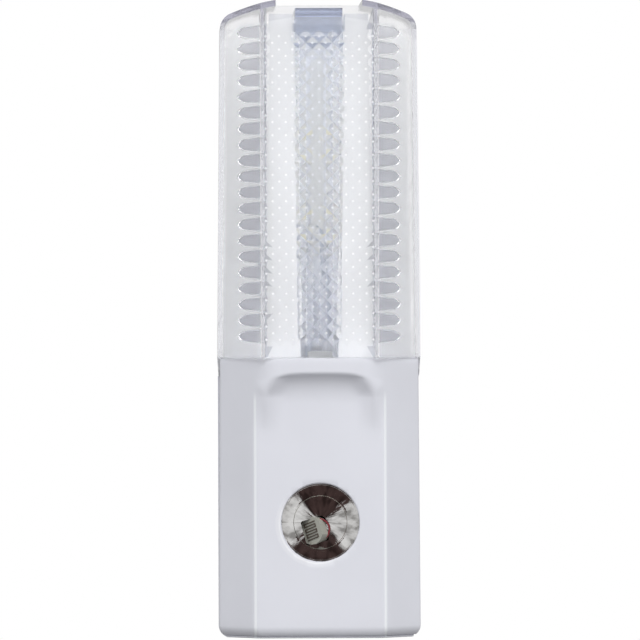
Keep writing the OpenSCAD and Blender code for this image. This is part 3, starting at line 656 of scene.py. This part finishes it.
def shade_skirts():
    """The two skirts beside the base, with their lower front corners cut off."""
    skirt = prism("skirt", shade_front_view(0, SKIRT_Z), "y", SKIRT_Y, WALL_Y)
    inside = prism("inside", shade_front_view(SKIRT_T, SKIRT_Z - PAST), "y", SKIRT_Y - PAST, WALL_Y + PAST)
    y, z = SKIRT_Y - PAST, SKIRT_Z - PAST
    corner = prism("corner", [(y, z), (SKIRT_Y + SKIRT_CUT, z), (y, SKIRT_Z + SKIRT_CUT)], "x", -FAR_X, FAR_X)
    return combine(skirt, inside, corner, all_above(SHADE_BOT_Z + SKIRT_ROOT))


def shade_lip():
    """The lips inside the shade's back edges, beside the backplate."""
    lip = prism("lip", shade_front_view(0, SHADE_BOT_Z), "y", WALL_Y - LIP, WALL_Y)
    inside = prism("inside", shade_front_view(SHADE_WALL + LIP, SHADE_BOT_Z - PAST),
                   "y", WALL_Y - LIP - 2 * PAST, WALL_Y + PAST)
    below = block("below", -FAR_X, FAR_X, FAR_Y, BACK_Y, BELOW_Z, SHADE_BOT_Z + LIP_END)
    return combine(lip, inside, all_above(high("backplate")[2] - LIP_END), below)


def build_shade():
    """The clear shade, with the notch for the latch, the slot for the tab, the knurl and the ribs."""
    outer = shade_cap()
    combine(outer, shade_skirts(), shade_lip(), how="UNION")
    inner_y = FRONT_Y + SHADE_WALL
    notch = block("notch", -NOTCH_HALF, NOTCH_HALF, FAR_Y, BACK_Y, NOTCH_Z, FAR_Z)
    window = block("window", -NOTCH_HALF, NOTCH_HALF, inner_y, BACK_Y, NOTCH_Z - WINDOW_H, FAR_Z)
    slot = block("slot", -SLOT_HALF, SLOT_HALF, FRONT_Y + SLOT_SKIN, inner_y + SLOT_PAST,
                 BELOW_Z, JOINT_Z + SLOT_H)
    combine(outer, notch, window, slot)
    round_edges(outer, SHADE_EDGE, degrees=40)
    combine(outer, build_knurl(), build_ribs(), how="UNION")
    narrow(outer, lambda z: 1 - SKIRT_TAPER * clamp((SKIRT_TAPER_Z - z) / SKIRT_TAPER_H))
    soften(outer, degrees=11)
    paint(outer, ("clear_plastic", "rib_plastic", "glint", "skirt_frost", "corner_plastic", "edge_plastic"),
          shade_part)
    return outer


def shade_part(centre, normal):
    """Which material a face of the shade has. Ribs have one on their tops, the knurl's tips a painted
    highlight, and the notch's edge and the front wall's inner corners a painted shade.
    """
    out = abs(centre.x) - rib_start_x()
    back = centre.y - FRONT_Y - SHADE_WALL
    depth = back * math.sin(BEVEL_TURN) - out * math.cos(BEVEL_TURN)
    along = back * math.cos(BEVEL_TURN) + out * math.sin(BEVEL_TURN)
    facing = abs(normal.x) * math.cos(BEVEL_TURN) + normal.y * math.sin(BEVEL_TURN)
    if centre.z < SKIRT_FROST_Z:
        return "skirt_frost"
    if centre.z > NOTCH_EDGE_Z and abs(centre.x) < NOTCH_HALF and centre.y < NOTCH_EDGE_Y:
        return "edge_plastic"
    # the knurl's flat tips get painted highlights
    if abs(back - KNURL_TIP * knurl_depth(centre.z)) < TIP_NEAR and normal.y > TIP_FACING:
        return "glint"
    if CORNER_BACK < back < KNURL_DEPTH and abs(centre.x) > CORNER_X and normal.y > CORNER_FACING:
        return "corner_plastic"
    if RIB_FROM < along < RIB_TO and RIB_TOP[0] < depth < RIB_TOP[1] and abs(facing) > RIB_FACING:
        return "rib_plastic"
    return "clear_plastic"


def knurl_depth(z):
    """Height of the pyramids, which are deeper near the base."""
    t = (z - JOINT_Z - KNURL_DEEP_TO) / (KNURL_SHALLOW_FROM - KNURL_DEEP_TO)
    return KNURL_DEPTH + (KNURL_TOP_DEPTH - KNURL_DEPTH) * clamp(t)


def build_knurl():
    """Rows of small pyramids with flat tips, on the inner face of the front wall."""
    back = FRONT_Y + SHADE_WALL
    z0, z1 = JOINT_Z + KNURL_FROM, low("shade_latch")[2]
    step_x, step_z = KNURL_PITCH_X / 2, KNURL_PITCH_Z / 2
    columns = KNURL_COLUMNS
    rows = int((z1 - KNURL_GAP - z0) / step_z) + 1
    x_at = [-columns / 2 * step_x + i * step_x for i in range(columns + 1)]
    z_at = [z0 + k * step_z for k in range(rows + 1)]
    verts, faces = [], []
    for k, z in enumerate(z_at):
        for i, x in enumerate(x_at):
            peak = (i + k) % 2 == 0 and 0 < i < columns and 0 < k < rows
            verts.append((x, back + (knurl_depth(z) if peak else KNURL_VALLEY), z))
    n = columns + 1
    front = len(verts)
    verts += [(x, back - KNURL_ROOT, z) for z in z_at for x in x_at]
    for k in range(rows):
        for i in range(columns):
            a = k * n + i
            b, c, d = a + 1, a + n + 1, a + n
            if (i + k) % 2 == 0:
                faces += [[a, b, d], [b, c, d]]
            else:
                faces += [[a, b, c], [a, c, d]]
            faces.append([front + a, front + d, front + c, front + b])
    rim = list(range(n)) + [k * n + n - 1 for k in range(1, rows + 1)]
    rim += [rows * n + i for i in range(n - 2, -1, -1)] + [k * n for k in range(rows - 1, 0, -1)]
    for a, b in zip(rim, rim[1:] + rim[:1]):
        faces.append([a, b, front + b, front + a])
    return combine(add_mesh("knurl", verts, faces), knurl_tips(back, z0, z1), how="INTERSECT")


def knurl_tips(back, z0, z1):
    """The solid that the pyramids' tips are flattened to."""
    past = 2 * PAST
    heights = [z0 - past, JOINT_Z + KNURL_DEEP_TO, JOINT_Z + KNURL_SHALLOW_FROM, z1 + past]
    side = [(back + KNURL_TIP * knurl_depth(z), z) for z in heights]
    return prism("tips", [(back - past, z0 - past)] + side + [(back - past, z1 + past)], "x", -FAR_X, FAR_X)


def rib_start_x():
    """Where the bevel's inner face starts."""
    return FLAT_HALF - inner_shift(SLOPE, SHADE_WALL)


def rib_outline(inset):
    """A pointed tooth that widens inwards, as (along the bevel, up)."""
    half = [(RIB_FROM + inset, RIB_R_IN - inset)]
    for u in spread(0, 1, RIB_STEPS):
        along = RIB_TO - inset - (RIB_NOSE - inset) * (1 - u)
        half.append((along, max(RIB_R - inset, 0) * (1 - u ** RIB_POINT) ** RIB_ROUND))
    return half + [(along, -up) for along, up in reversed(half[:-1])]


def build_rib(side, z):
    """A flat tooth on the inside of a bevel, rooted in its wall."""
    layers = [(-RIB_ROOT, 0)] + [(RIB_H - down, inset) for down, inset in RIB_EDGE]
    verts = []
    for depth, inset in layers:
        for s, up in rib_outline(inset):
            x = rib_start_x() + s * math.sin(BEVEL_TURN) - depth * math.cos(BEVEL_TURN)
            y = FRONT_Y + SHADE_WALL + s * math.cos(BEVEL_TURN) + depth * math.sin(BEVEL_TURN)
            verts.append((side * x, y, z + up))
    n = len(rib_outline(0))
    return verts, side_faces(len(layers), n) + end_faces(len(layers), n)


def build_ribs():
    """The ribs of both bevels in one mesh."""
    verts, faces = [], []
    for side in (-1, 1):
        for i in range(RIB_COUNT):
            v, f = build_rib(side, RIB_Z + i * RIB_PITCH)
            faces += [[k + len(verts) for k in face] for face in f]
            verts += v
    return add_mesh("ribs", verts, faces)


# ---------------------------------------------------------------- sensor

def build_cup():
    """A shallow ring, a bright step and a cone with a snug opening around the photocell."""
    profile = [(CUP_R + out, depth) for out, depth in CUP_EDGE_OUT]
    profile += [(CUP_R, CUP_SKIRT), (CUP_R - CUP_WALL, CUP_SKIRT), CUP_NECK]
    profile += [(CUP_BACK_R + CUP_WALL, CUP_DEPTH), (CUP_BACK_R, CUP_DEPTH)]
    profile += [(CUP_BACK_R, CUP_CONE + CUP_FLOOR), (CUP_THROAT_R, CUP_CONE + CUP_FLOOR)]
    profile += [(CUP_THROAT_R, CUP_CONE)]
    profile += [(CUP_RING_R + out, CUP_STEP + down) for out, down in CUP_STEP_EDGE]
    profile += [(CUP_R + out, depth) for out, depth in CUP_EDGE_IN]
    obj = lathe("cup", profile, (0, PANEL_Y, SENSOR_Z), CUP_SIDES)
    combine(obj, cell_opening())
    soften(obj, degrees=50)
    return obj


def cell_opening():
    """The cutter of the opening that the photocell stands in, turned as it leans."""
    low_x, _, low_z = low("photocell_body")
    high_x, _, high_z = high("photocell_body")
    half = Vector(((high_x - low_x) / 2 - OPENING_GAP[0], (high_z - low_z) / 2 - OPENING_GAP[1]))
    middle = Vector(((low_x + high_x) / 2, (low_z + high_z) / 2))
    corners = []
    for u, w in ((-1, -1), (1, -1), (1, 1), (-1, 1)):
        p = Vector((u * half.x * OPENING_PART[0], w * half.y * OPENING_PART[1]))
        p.rotate(Matrix.Rotation(math.radians(OPENING_LEAN), 2))
        corners.append((middle.x + p.x, middle.y + p.y, OPENING_R))
    return prism("opening", filleted(corners), "y", PANEL_Y + OPENING_FROM, PANEL_Y + OPENING_TO)


def build_sleeve_end():
    """The red sleeve's front end, bent round the right side of the photocell."""
    centre = Vector((SLEEVE_X, 0, SLEEVE_Z))
    rings = []
    for a in spread(math.radians(SLEEVE_FROM), math.radians(SLEEVE_TO), SLEEVE_STEPS):
        out = Vector((math.cos(a), 0, math.sin(a)))
        ring = []
        for b in spread(0, 2 * math.pi, SLEEVE_SIDES)[:-1]:
            p = centre + out * (SLEEVE_BEND + SLEEVE_R * math.cos(b))
            ring.append((p.x, SLEEVE_Y + SLEEVE_R * math.sin(b), p.z))
        rings.append(ring)
    obj = loft("sleeve_end", rings)
    soften(obj, degrees=50)
    return obj


# ---------------------------------------------------------------- materials

WHITE = (0.825, 0.832, 0.89)
# painted highlights on the base: a line on the panel's side edges and a ring round the cup's hole
EDGE_HIGHLIGHT_WHITE = (0.95, 0.97, 1.0)
CUP_RING_HIGHLIGHT_WHITE = (0.98, 0.98, 1.0)
# painted shade in the shade's top rim and above the backplate
RIM_PAINTED_GREY = (0.90, 0.90, 0.91)
CROWN_PAINTED_GREY = (0.55, 0.54, 0.61)
RIM_PAINTED_STOPS = ((0.38, (1, 1, 1)), (0.42, RIM_PAINTED_GREY), (0.815, RIM_PAINTED_GREY), (0.835, CROWN_PAINTED_GREY))
TROUGH_FROM = 1.1
TROUGH_PAINTED_LIGHT = (0.95, 0.96, 0.985)
STREAK_TURN = 1.3  # how fast the streaks change round the cup and outwards
STREAK_OUT = 0.12
STREAK_SCALE = 2.6
STREAK_DEPTH = 0.09
STREAK_TINTS = ((0.38, (0.36, 0.35, 0.34)), (0.5, (0.74, 0.73, 0.72)), (0.66, (0.95, 0.94, 0.93)))
SMOKE = (0.016, (0.40, 0.42, 0.55))  # density and tint of the shade's plastic
SHELLS = {"white_shell": (WHITE, 0.42)}
PLASTICS = {  # colour and roughness
    "white_plastic": (WHITE, 0.42),
    "skirt_frost": ((0.72, 0.73, 0.75), 0.25),
    # the tab is white plastic like the base, painted dark grey as the shade it stands in behind the slot's
    # clear skin
    "tab_grey": ((0.36, 0.37, 0.39), 0.4),
    # painted highlights: opaque white caps on the knurl's flat tips
    "glint": ((0.97, 0.97, 0.98), 0.3),
    "plate_white": ((0.865, 0.87, 0.88), 0.4),
    "reflector_white": ((0.77, 0.78, 0.80), 0.25),
    "board_white": ((0.82, 0.82, 0.80), 0.4),
    "package_white": ((0.86, 0.85, 0.8), 0.5),
    "phosphor": ((0.9, 0.87, 0.70), 0.5),
    "red_insulation": ((0.26, 0.04, 0.05), 0.4),
    "white_insulation": ((0.86, 0.86, 0.86), 0.4),
    "grey_insulation": ((0.60, 0.63, 0.68), 0.4),
    "brown_insulation": ((0.2, 0.08, 0.03), 0.4),
    "blue_insulation": ((0.04, 0.12, 0.45), 0.4),
    "dark_insulation": ((0.03, 0.03, 0.032), 0.45),
    "board_brown": ((0.35, 0.19, 0.08), 0.5),
    "film_yellow": ((0.65, 0.38, 0.05), 0.25),
    "can_blue": ((0.04, 0.05, 0.15), 0.3),
    "black_epoxy": ((0.03, 0.03, 0.035), 0.55),
    "green_coating": ((0.08, 0.25, 0.15), 0.35),
    "tan_coating": ((0.5, 0.35, 0.2), 0.35),
    "cell_ceramic": ((0.42, 0.42, 0.37), 0.3),
    "cell_track": ((0.09, 0.07, 0.055), 0.4),
}
CLEARS = {  # colour, roughness, density and tint
    "clear_plastic": ((1.0, 1.0, 1.0), 0.1, *SMOKE),
    "rib_plastic": ((1.0, 0.985, 0.94), 0.15, *SMOKE),
    # painted shade on the notch's edge in the front wall
    "edge_plastic": ((0.40, 0.40, 0.43), 0.15, *SMOKE),
    # painted shade in the front wall's inner corners
    "corner_plastic": ((0.60, 0.61, 0.65), 0.15, *SMOKE),
    "latch_plastic": ((0.86, 0.885, 0.94), 0.22, 0.03, (0.30, 0.40, 0.70)),
}
METALS = {  # colour and roughness
    "bright_cup": ((0.88, 0.87, 0.86), 0.07),
    "tinned_wire": ((0.7, 0.7, 0.71), 0.3),
    "nickel_plate": ((0.72, 0.7, 0.65), 0.22),
    "contact_brass": ((0.75, 0.55, 0.22), 0.3),
    "zinc_steel": ((0.62, 0.63, 0.65), 0.3),
}
# Noises in them
CLOUD_FROM = 0.3  # the part of a noise's range over which a cloud goes from dark to light
CLOUD_TO = 0.7
PLASTIC_CLOUDS = 60  # this and the others are scales
PLASTIC_GLOSS = 220
PLASTIC_GRAIN = 900
CLEAR_GLOSS = 300
CLEAR_WAVES = 500
METAL_CLOUDS = 180
METAL_GLOSS = 400
METAL_GRAIN = 1500
FLOOR_GRAIN = 40


def material(name):
    """A new material, its node tree and its shader."""
    mat = bpy.data.materials.new(name)
    mat.use_nodes = True
    return mat, mat.node_tree, mat.node_tree.nodes["Principled BSDF"]


def grey(level):
    """A colour with no hue."""
    return (level, level, level)


def shade_of(colour, factor):
    """A darker shade of a colour."""
    return tuple(c * factor for c in colour)


def feed(tree, value, socket):
    """Gives a socket a number, a colour or what comes out of another socket."""
    if isinstance(value, bpy.types.NodeSocket):
        tree.links.new(value, socket)
    elif isinstance(value, tuple):
        socket.default_value = (*value, 1)
    else:
        socket.default_value = value


def math_node(tree, how, a, b=0.0, c=0.0):
    """One Math node on numbers or sockets."""
    node = tree.nodes.new("ShaderNodeMath")
    node.operation = how
    for value, socket in zip((a, b, c), node.inputs):
        feed(tree, value, socket)
    return node.outputs["Value"]


def place_axes(tree, coords="Object", centre=(0, 0, 0)):
    """The x, y and z of a coordinate about a centre in millimetres."""
    where = tree.nodes.new("ShaderNodeTexCoord")
    shift = tree.nodes.new("ShaderNodeVectorMath")
    shift.operation = "SUBTRACT"
    shift.inputs[1].default_value = [c * MM for c in centre]
    axes = tree.nodes.new("ShaderNodeSeparateXYZ")
    tree.links.new(where.outputs[coords], shift.inputs[0])
    tree.links.new(shift.outputs["Vector"], axes.inputs["Vector"])
    return [axes.outputs[k] for k in "XYZ"]


def length_of(tree, a, b):
    """The length of a vector with the parts a and b."""
    squares = math_node(tree, "ADD", math_node(tree, "MULTIPLY", a, a), math_node(tree, "MULTIPLY", b, b))
    return math_node(tree, "SQRT", squares)


def noise(tree, scale, detail=3, where=None):
    """Noise over the object's own coordinates, or over another vector."""
    tex = tree.nodes.new("ShaderNodeTexNoise")
    tex.inputs["Scale"].default_value = scale
    tex.inputs["Detail"].default_value = detail
    if where is None:
        where = tree.nodes.new("ShaderNodeTexCoord").outputs["Object"]
    tree.links.new(where, tex.inputs["Vector"])
    return tex.outputs["Fac"]


def ramp(tree, value, *stops):
    """Colours along a value: stops of (position, colour)."""
    node = tree.nodes.new("ShaderNodeValToRGB")
    marks = node.color_ramp.elements
    while len(marks) < len(stops):
        marks.new(0.5)
    for mark, (at, colour) in zip(marks, stops):
        mark.position = at
        mark.color = (*colour, 1)
    tree.links.new(value, node.inputs["Fac"])
    return node.outputs["Color"]


def mask(tree, value, stops, unit=1):
    """Strengths along a value: stops of (position, strength), with positions up to unit."""
    return ramp(tree, value, *((at / unit, grey(strength)) for at, strength in stops))


def span(tree, value, start, end):
    """A value of 0 to 1 spread from start to end."""
    node = tree.nodes.new("ShaderNodeMapRange")
    node.inputs["To Min"].default_value = start
    node.inputs["To Max"].default_value = end
    tree.links.new(value, node.inputs["Value"])
    return node.outputs["Result"]


def bump(tree, shader, height, strength, distance):
    """Bumps of a distance in millimetres."""
    node = tree.nodes.new("ShaderNodeBump")
    node.inputs["Strength"].default_value = strength
    node.inputs["Distance"].default_value = distance * MM
    tree.links.new(height, node.inputs["Height"])
    tree.links.new(node.outputs["Normal"], shader.inputs["Normal"])


def laid_over(tree, factor, under, colour):
    """One colour mixed over another. Both are colours or sockets."""
    mix = tree.nodes.new("ShaderNodeMix")
    mix.data_type = "RGBA"
    colour_a, colour_b = [i for i in mix.inputs if i.type == "RGBA"][:2]
    feed(tree, under, colour_a)
    feed(tree, colour, colour_b)
    tree.links.new(factor, mix.inputs["Factor"])
    return [o for o in mix.outputs if o.type == "RGBA"][0]


def tinted(mat, factor, colour):
    """Mixes a colour over what feeds a material's base colour."""
    socket = mat.node_tree.nodes["Principled BSDF"].inputs["Base Color"]
    mat.node_tree.links.new(laid_over(mat.node_tree, factor, socket.links[0].from_socket, colour), socket)


def chosen(tree, factor, usual, special):
    """One shader where the factor is 0 and another where it is 1."""
    mix = tree.nodes.new("ShaderNodeMixShader")
    for value, socket in zip((factor, usual, special), mix.inputs):
        tree.links.new(value, socket)
    return mix.outputs["Shader"]


def clouded(tree, shader, scale, colour, least):
    """A base colour that drifts between a colour and a darker shade of it."""
    tint = ramp(tree, noise(tree, scale), (CLOUD_FROM, shade_of(colour, least)), (CLOUD_TO, colour))
    tree.links.new(tint, shader.inputs["Base Color"])


def uneven_gloss(tree, shader, scale, least, most):
    """A roughness that drifts between two values."""
    tree.links.new(span(tree, noise(tree, scale), least, most), shader.inputs["Roughness"])


def plastic(name, colour, rough, grain=PLASTIC_GRAIN, depth=0.01, spread_by=0.04):
    """Moulded plastic: faint cloudiness, uneven gloss and a fine grain."""
    mat, tree, shader = material(name)
    clouded(tree, shader, PLASTIC_CLOUDS, colour, least=1 - spread_by)
    uneven_gloss(tree, shader, PLASTIC_GLOSS, rough - 0.06, rough + 0.06)
    bump(tree, shader, noise(tree, grain, detail=5), strength=0.25, distance=depth)
    return mat


def clear(name, colour, rough, density, tint):
    """Clear moulded plastic with a slightly wavy skin."""
    mat, tree, shader = material(name)
    shader.inputs["Base Color"].default_value = (*colour, 1)
    shader.inputs["IOR"].default_value = 1.49
    shader.inputs["Transmission Weight"].default_value = 1.0
    uneven_gloss(tree, shader, CLEAR_GLOSS, rough * 0.6, rough * 1.4)
    bump(tree, shader, noise(tree, CLEAR_WAVES, detail=2), strength=0.2, distance=0.004)
    haze = tree.nodes.new("ShaderNodeVolumeAbsorption")
    haze.inputs["Color"].default_value = (*tint, 1)
    haze.inputs["Density"].default_value = density / MM
    tree.links.new(haze.outputs["Volume"], tree.nodes["Material Output"].inputs["Volume"])
    return mat


def metal(name, colour, rough):
    """Bare metal with uneven gloss and a fine grain."""
    mat, tree, shader = material(name)
    clouded(tree, shader, METAL_CLOUDS, colour, least=0.9)
    shader.inputs["Metallic"].default_value = 1.0
    uneven_gloss(tree, shader, METAL_GLOSS, rough * 0.7, rough * 1.3)
    bump(tree, shader, noise(tree, METAL_GRAIN, detail=4), strength=0.2, distance=0.002)
    return mat


def shell(name, colour, rough):
    """The base's plastic, with painted highlights: a line on the panel's side edges, and a ring round the
    cup's hole that is strongest at its lower left.
    """
    mat = plastic(name, colour, rough)
    tinted(mat, painted_edge_highlight(mat.node_tree), EDGE_HIGHLIGHT_WHITE)
    tinted(mat, cup_rim_highlight(mat.node_tree), CUP_RING_HIGHLIGHT_WHITE)
    return mat


def painted_edge_highlight(tree):
    """Where the painted highlight goes: 1 on the panel's side edges from below the ledge down, and 0
    elsewhere.
    """
    x, _, z = place_axes(tree)
    off = math_node(tree, "SUBTRACT", math_node(tree, "ABSOLUTE", x), EDGE_X * MM)
    off = math_node(tree, "MULTIPLY", math_node(tree, "ABSOLUTE", off), 1 / MM)
    below = math_node(tree, "MULTIPLY_ADD", z, -1 / (EDGE_BLEND * MM), (JOINT_Z - EDGE_FROM) / EDGE_BLEND)
    return math_node(tree, "MULTIPLY", mask(tree, off, EDGE_HIGHLIGHT_STOPS), mask(tree, below, ((0, 0), (1, 1))))


def cup_rim_highlight(tree):
    """Where the painted highlight goes: strongest at the lower left of a thin ring round the cup's hole, and
    0 away from it.
    """
    side, _, up = place_axes(tree, centre=(CUP_HIGHLIGHT_X, 0, SENSOR_Z + CUP_HIGHLIGHT_Z))
    out = length_of(tree, side, up)
    ring = mask(tree, math_node(tree, "MULTIPLY", out, 0.1 / MM), CUP_HIGHLIGHT_RING, 10)
    corner = math_node(tree, "MULTIPLY", up, -CUP_HIGHLIGHT_DOWN)
    corner = math_node(tree, "MULTIPLY_ADD", side, -CUP_HIGHLIGHT_LEFT, corner)
    corner = mask(tree, math_node(tree, "DIVIDE", corner, out), ((0, 0), (0.9, 1)))
    return math_node(tree, "MULTIPLY", ring, corner)


def crown_painted_shade(mat):
    """Painted shade at the shade's top: a little darker above the backplate, and much darker in the rim,
    where the walls are seen edge on.
    """
    tree = mat.node_tree
    x, _, z = place_axes(tree, centre=(0, 0, CROWN_Z))
    rim = math_node(tree, "MULTIPLY_ADD", length_of(tree, x, z), 1 / (RIM_W * MM), -RIM_FROM / RIM_W)
    _, facing, _ = place_axes(tree, "Normal")
    flat = math_node(tree, "GREATER_THAN", math_node(tree, "ABSOLUTE", facing), RIM_FACING)
    tint = laid_over(tree, flat, grey(1), ramp(tree, rim, *RIM_PAINTED_STOPS))
    tree.links.new(tint, tree.nodes["Principled BSDF"].inputs["Base Color"])


def trough_painted_light(mat):
    """Painted light: the reflector is lighter inside its trough than on its two wings."""
    _, y, _ = place_axes(mat.node_tree, centre=(0, low("reflector")[1] + TROUGH_FROM, 0))
    tinted(mat, math_node(mat.node_tree, "GREATER_THAN", y, 0.0), TROUGH_PAINTED_LIGHT)


def streaked(mat):
    """Radial streaks in a turned bright metal."""
    tree = mat.node_tree
    shader = tree.nodes["Principled BSDF"]
    x, _, z = place_axes(tree, centre=(0, 0, SENSOR_Z))
    join = tree.nodes.new("ShaderNodeCombineXYZ")
    angle = math_node(tree, "ARCTAN2", z, x)
    tree.links.new(math_node(tree, "MULTIPLY", angle, STREAK_TURN), join.inputs["X"])
    tree.links.new(math_node(tree, "MULTIPLY", length_of(tree, x, z), STREAK_OUT / MM), join.inputs["Y"])
    streak = noise(tree, STREAK_SCALE, where=join.outputs["Vector"])
    tree.links.new(ramp(tree, streak, *STREAK_TINTS), shader.inputs["Base Color"])
    bump(tree, shader, streak, strength=1.0, distance=STREAK_DEPTH)


def dress(obj, mat):
    """Gives an object one material."""
    obj.data.materials.clear()
    obj.data.materials.append(mat)


MATERIALS = {}
for make, looks in ((shell, SHELLS), (plastic, PLASTICS), (clear, CLEARS), (metal, METALS)):
    for material_name, values in looks.items():
        MATERIALS[material_name] = make(material_name, *values)
crown_painted_shade(MATERIALS["clear_plastic"])
trough_painted_light(MATERIALS["reflector_white"])
streaked(MATERIALS["bright_cup"])


# ---------------------------------------------------------------- pieces

def place(obj, body, mat, slot, *replaced):
    """Puts a built object on its body, with its material if any, and hides what it replaces. Its slot is not
    used.
    """
    if mat:
        dress(obj, MATERIALS[mat])
    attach(obj, body)
    if replaced:
        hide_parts(*replaced)


SLOTS = {part["node"]: part["material_slot"] for part in frame["record"]["subparts"]}
for node_name, node in nodes.items():
    dress(node, MATERIALS[SLOTS[node_name]])
dress(nodes["shade_latch"], MATERIALS["latch_plastic"])
dress(nodes["backplate"], MATERIALS["plate_white"])

place(build_front_housing(), "housing", None, "white_plastic", "front_housing")
place(build_shade(), "shade", None, "clear_plastic", "shade")
place(build_cup(), "housing", "bright_cup", "bright_cup", "sensor_cup")
place(build_sleeve_end(), "housing", "red_insulation", "red_insulation")


# ---------------------------------------------------------------- camera, light and floor

def build_camera():
    """A long lens straight in front, a degree to the left and a little tipped."""
    turn = math.radians(VIEW_TURN)
    cam = bpy.data.cameras.new("camera")
    cam.sensor_width = FILM_W
    cam.lens = FILM_W * VIEW_FROM / VIEW_W
    cam.clip_start, cam.clip_end = CLIP
    obj = bpy.data.objects.new("camera", cam)
    obj.location = (Vector(VIEW_AT) - Vector((math.sin(turn), math.cos(turn), 0)) * VIEW_FROM) * MM
    obj.rotation_euler = (math.pi / 2, math.radians(VIEW_ROLL), -turn)
    bpy.context.scene.collection.objects.link(obj)
    bpy.context.scene.camera = obj


def background(tree, colour, strength):
    """A Background shader. Its colour and strength are values or sockets."""
    node = tree.nodes.new("ShaderNodeBackground")
    feed(tree, colour, node.inputs["Color"])
    feed(tree, strength, node.inputs["Strength"])
    return node.outputs["Background"]


def room_colour(tree, x, z):
    """The room that metal sees: light at its sides and in its middle, dark above and below."""
    across = length_of(tree, x, z)
    divisor = math_node(tree, "MAXIMUM", across, NEVER_ZERO)
    steep = math_node(tree, "DIVIDE", math_node(tree, "ABSOLUTE", z), divisor)
    set_in = math_node(tree, "MINIMUM", math_node(tree, "MULTIPLY", across, ROOM_MIDDLE), 1.0)
    steep = math_node(tree, "MULTIPLY", steep, set_in)
    skew = math_node(tree, "MULTIPLY", x, z)
    skew = math_node(tree, "DIVIDE", skew, math_node(tree, "MULTIPLY", across, across))
    steep = math_node(tree, "MULTIPLY_ADD", skew, ROOM_SKEW, steep)
    steep = math_node(tree, "MULTIPLY_ADD", across, ROOM_WIDEN, math_node(tree, "ADD", steep, ROOM_SHIFT))
    return ramp(tree, steep, (ROOM_EDGE[0], ROOM_LIGHT), (ROOM_EDGE[1], ROOM_DARK))


def glass_strength(tree, path, y):
    """1 where something is seen through glass, and up to GLASS_LIGHT where a surface is lit through it."""
    front = mask(tree, math_node(tree, "MULTIPLY_ADD", y, 0.5, 0.5), FRONT_FADE)
    inside = math_node(tree, "GREATER_THAN", path.outputs["Diffuse Depth"], 0.5)
    lit = math_node(tree, "MULTIPLY", inside, front)
    return math_node(tree, "MULTIPLY_ADD", lit, GLASS_LIGHT - 1, 1.0)


def build_world():
    """A plain light, with a white background for the camera and for glass, and a room for metal."""
    world = bpy.data.worlds.new("world")
    bpy.context.scene.world = world
    world.use_nodes = True
    tree = world.node_tree
    tree.nodes.clear()
    path = tree.nodes.new("ShaderNodeLightPath")
    x, y, z = place_axes(tree, "Generated")
    shader = background(tree, WORLD_COLOUR, WORLD_LIGHT)
    for ray, seen in (("Is Glossy Ray", background(tree, room_colour(tree, x, z), 1.0)),
                      ("Is Transmission Ray", background(tree, grey(1), glass_strength(tree, path, y))),
                      ("Is Camera Ray", background(tree, grey(1), 1.0))):
        shader = chosen(tree, path.outputs[ray], shader, seen)
    tree.links.new(shader, tree.nodes.new("ShaderNodeOutputWorld").inputs["Surface"])


def add_area(name, where, size, power):
    """A lamp that faces the origin and isn't seen itself, with its place and size in metres."""
    light = bpy.data.lights.new(name, "AREA")
    light.shape = "RECTANGLE"
    light.size, light.size_y = size
    light.energy = power
    obj = bpy.data.objects.new(name, light)
    obj.location = where
    obj.rotation_euler = Vector(where).to_track_quat("Z", "Y").to_euler()
    obj.visible_camera = False
    obj.visible_glossy = False
    bpy.context.scene.collection.objects.link(obj)
    return obj


def floor_paint():
    """Pale where it is looked at, and a darker grey for the light that it throws back up."""
    mat = plastic("floor_paint", FLOOR_PALE, 0.7, FLOOR_GRAIN, depth=0.2, spread_by=0.01)
    tree = mat.node_tree
    path = tree.nodes.new("ShaderNodeLightPath")
    dim = tree.nodes.new("ShaderNodeBsdfDiffuse")
    dim.inputs["Color"].default_value = (*FLOOR_DIM, 1)
    shader = chosen(tree, path.outputs["Is Diffuse Ray"], tree.nodes["Principled BSDF"].outputs["BSDF"],
                    dim.outputs["BSDF"])
    tree.links.new(shader, tree.nodes["Material Output"].inputs["Surface"])
    return mat


def build_floor():
    """A wide floor below the object, which metal doesn't reflect."""
    half, z = FLOOR_HALF, FLOOR_Z
    mesh = bpy.data.meshes.new("floor")
    corners = [(-half, -half, z), (half, -half, z), (half, half, z), (-half, half, z)]
    mesh.from_pydata(corners, [], [[0, 1, 2, 3]])
    obj = bpy.data.objects.new("floor", mesh)
    bpy.context.scene.collection.objects.link(obj)
    dress(obj, floor_paint())
    obj.visible_glossy = False
    return obj


def spare(lamp, obj):
    """Keeps a lamp that stands near the floor from lighting it."""
    spared = bpy.data.collections.new(lamp.name + "_spares")
    spared.objects.link(obj)
    spared.collection_objects[0].light_linking.link_state = "EXCLUDE"
    lamp.light_linking.receiver_collection = spared


build_camera()
build_world()
floor = build_floor()
add_area(*KEY)
for strip in STRIPS:
    spare(add_area(*strip), floor)
scene = bpy.context.scene
scene.view_settings.view_transform = "Standard"
scene.cycles.max_bounces = 48
scene.cycles.transmission_bounces = 24
scene.cycles.glossy_bounces = 32
scene.cycles.diffuse_bounces = 12
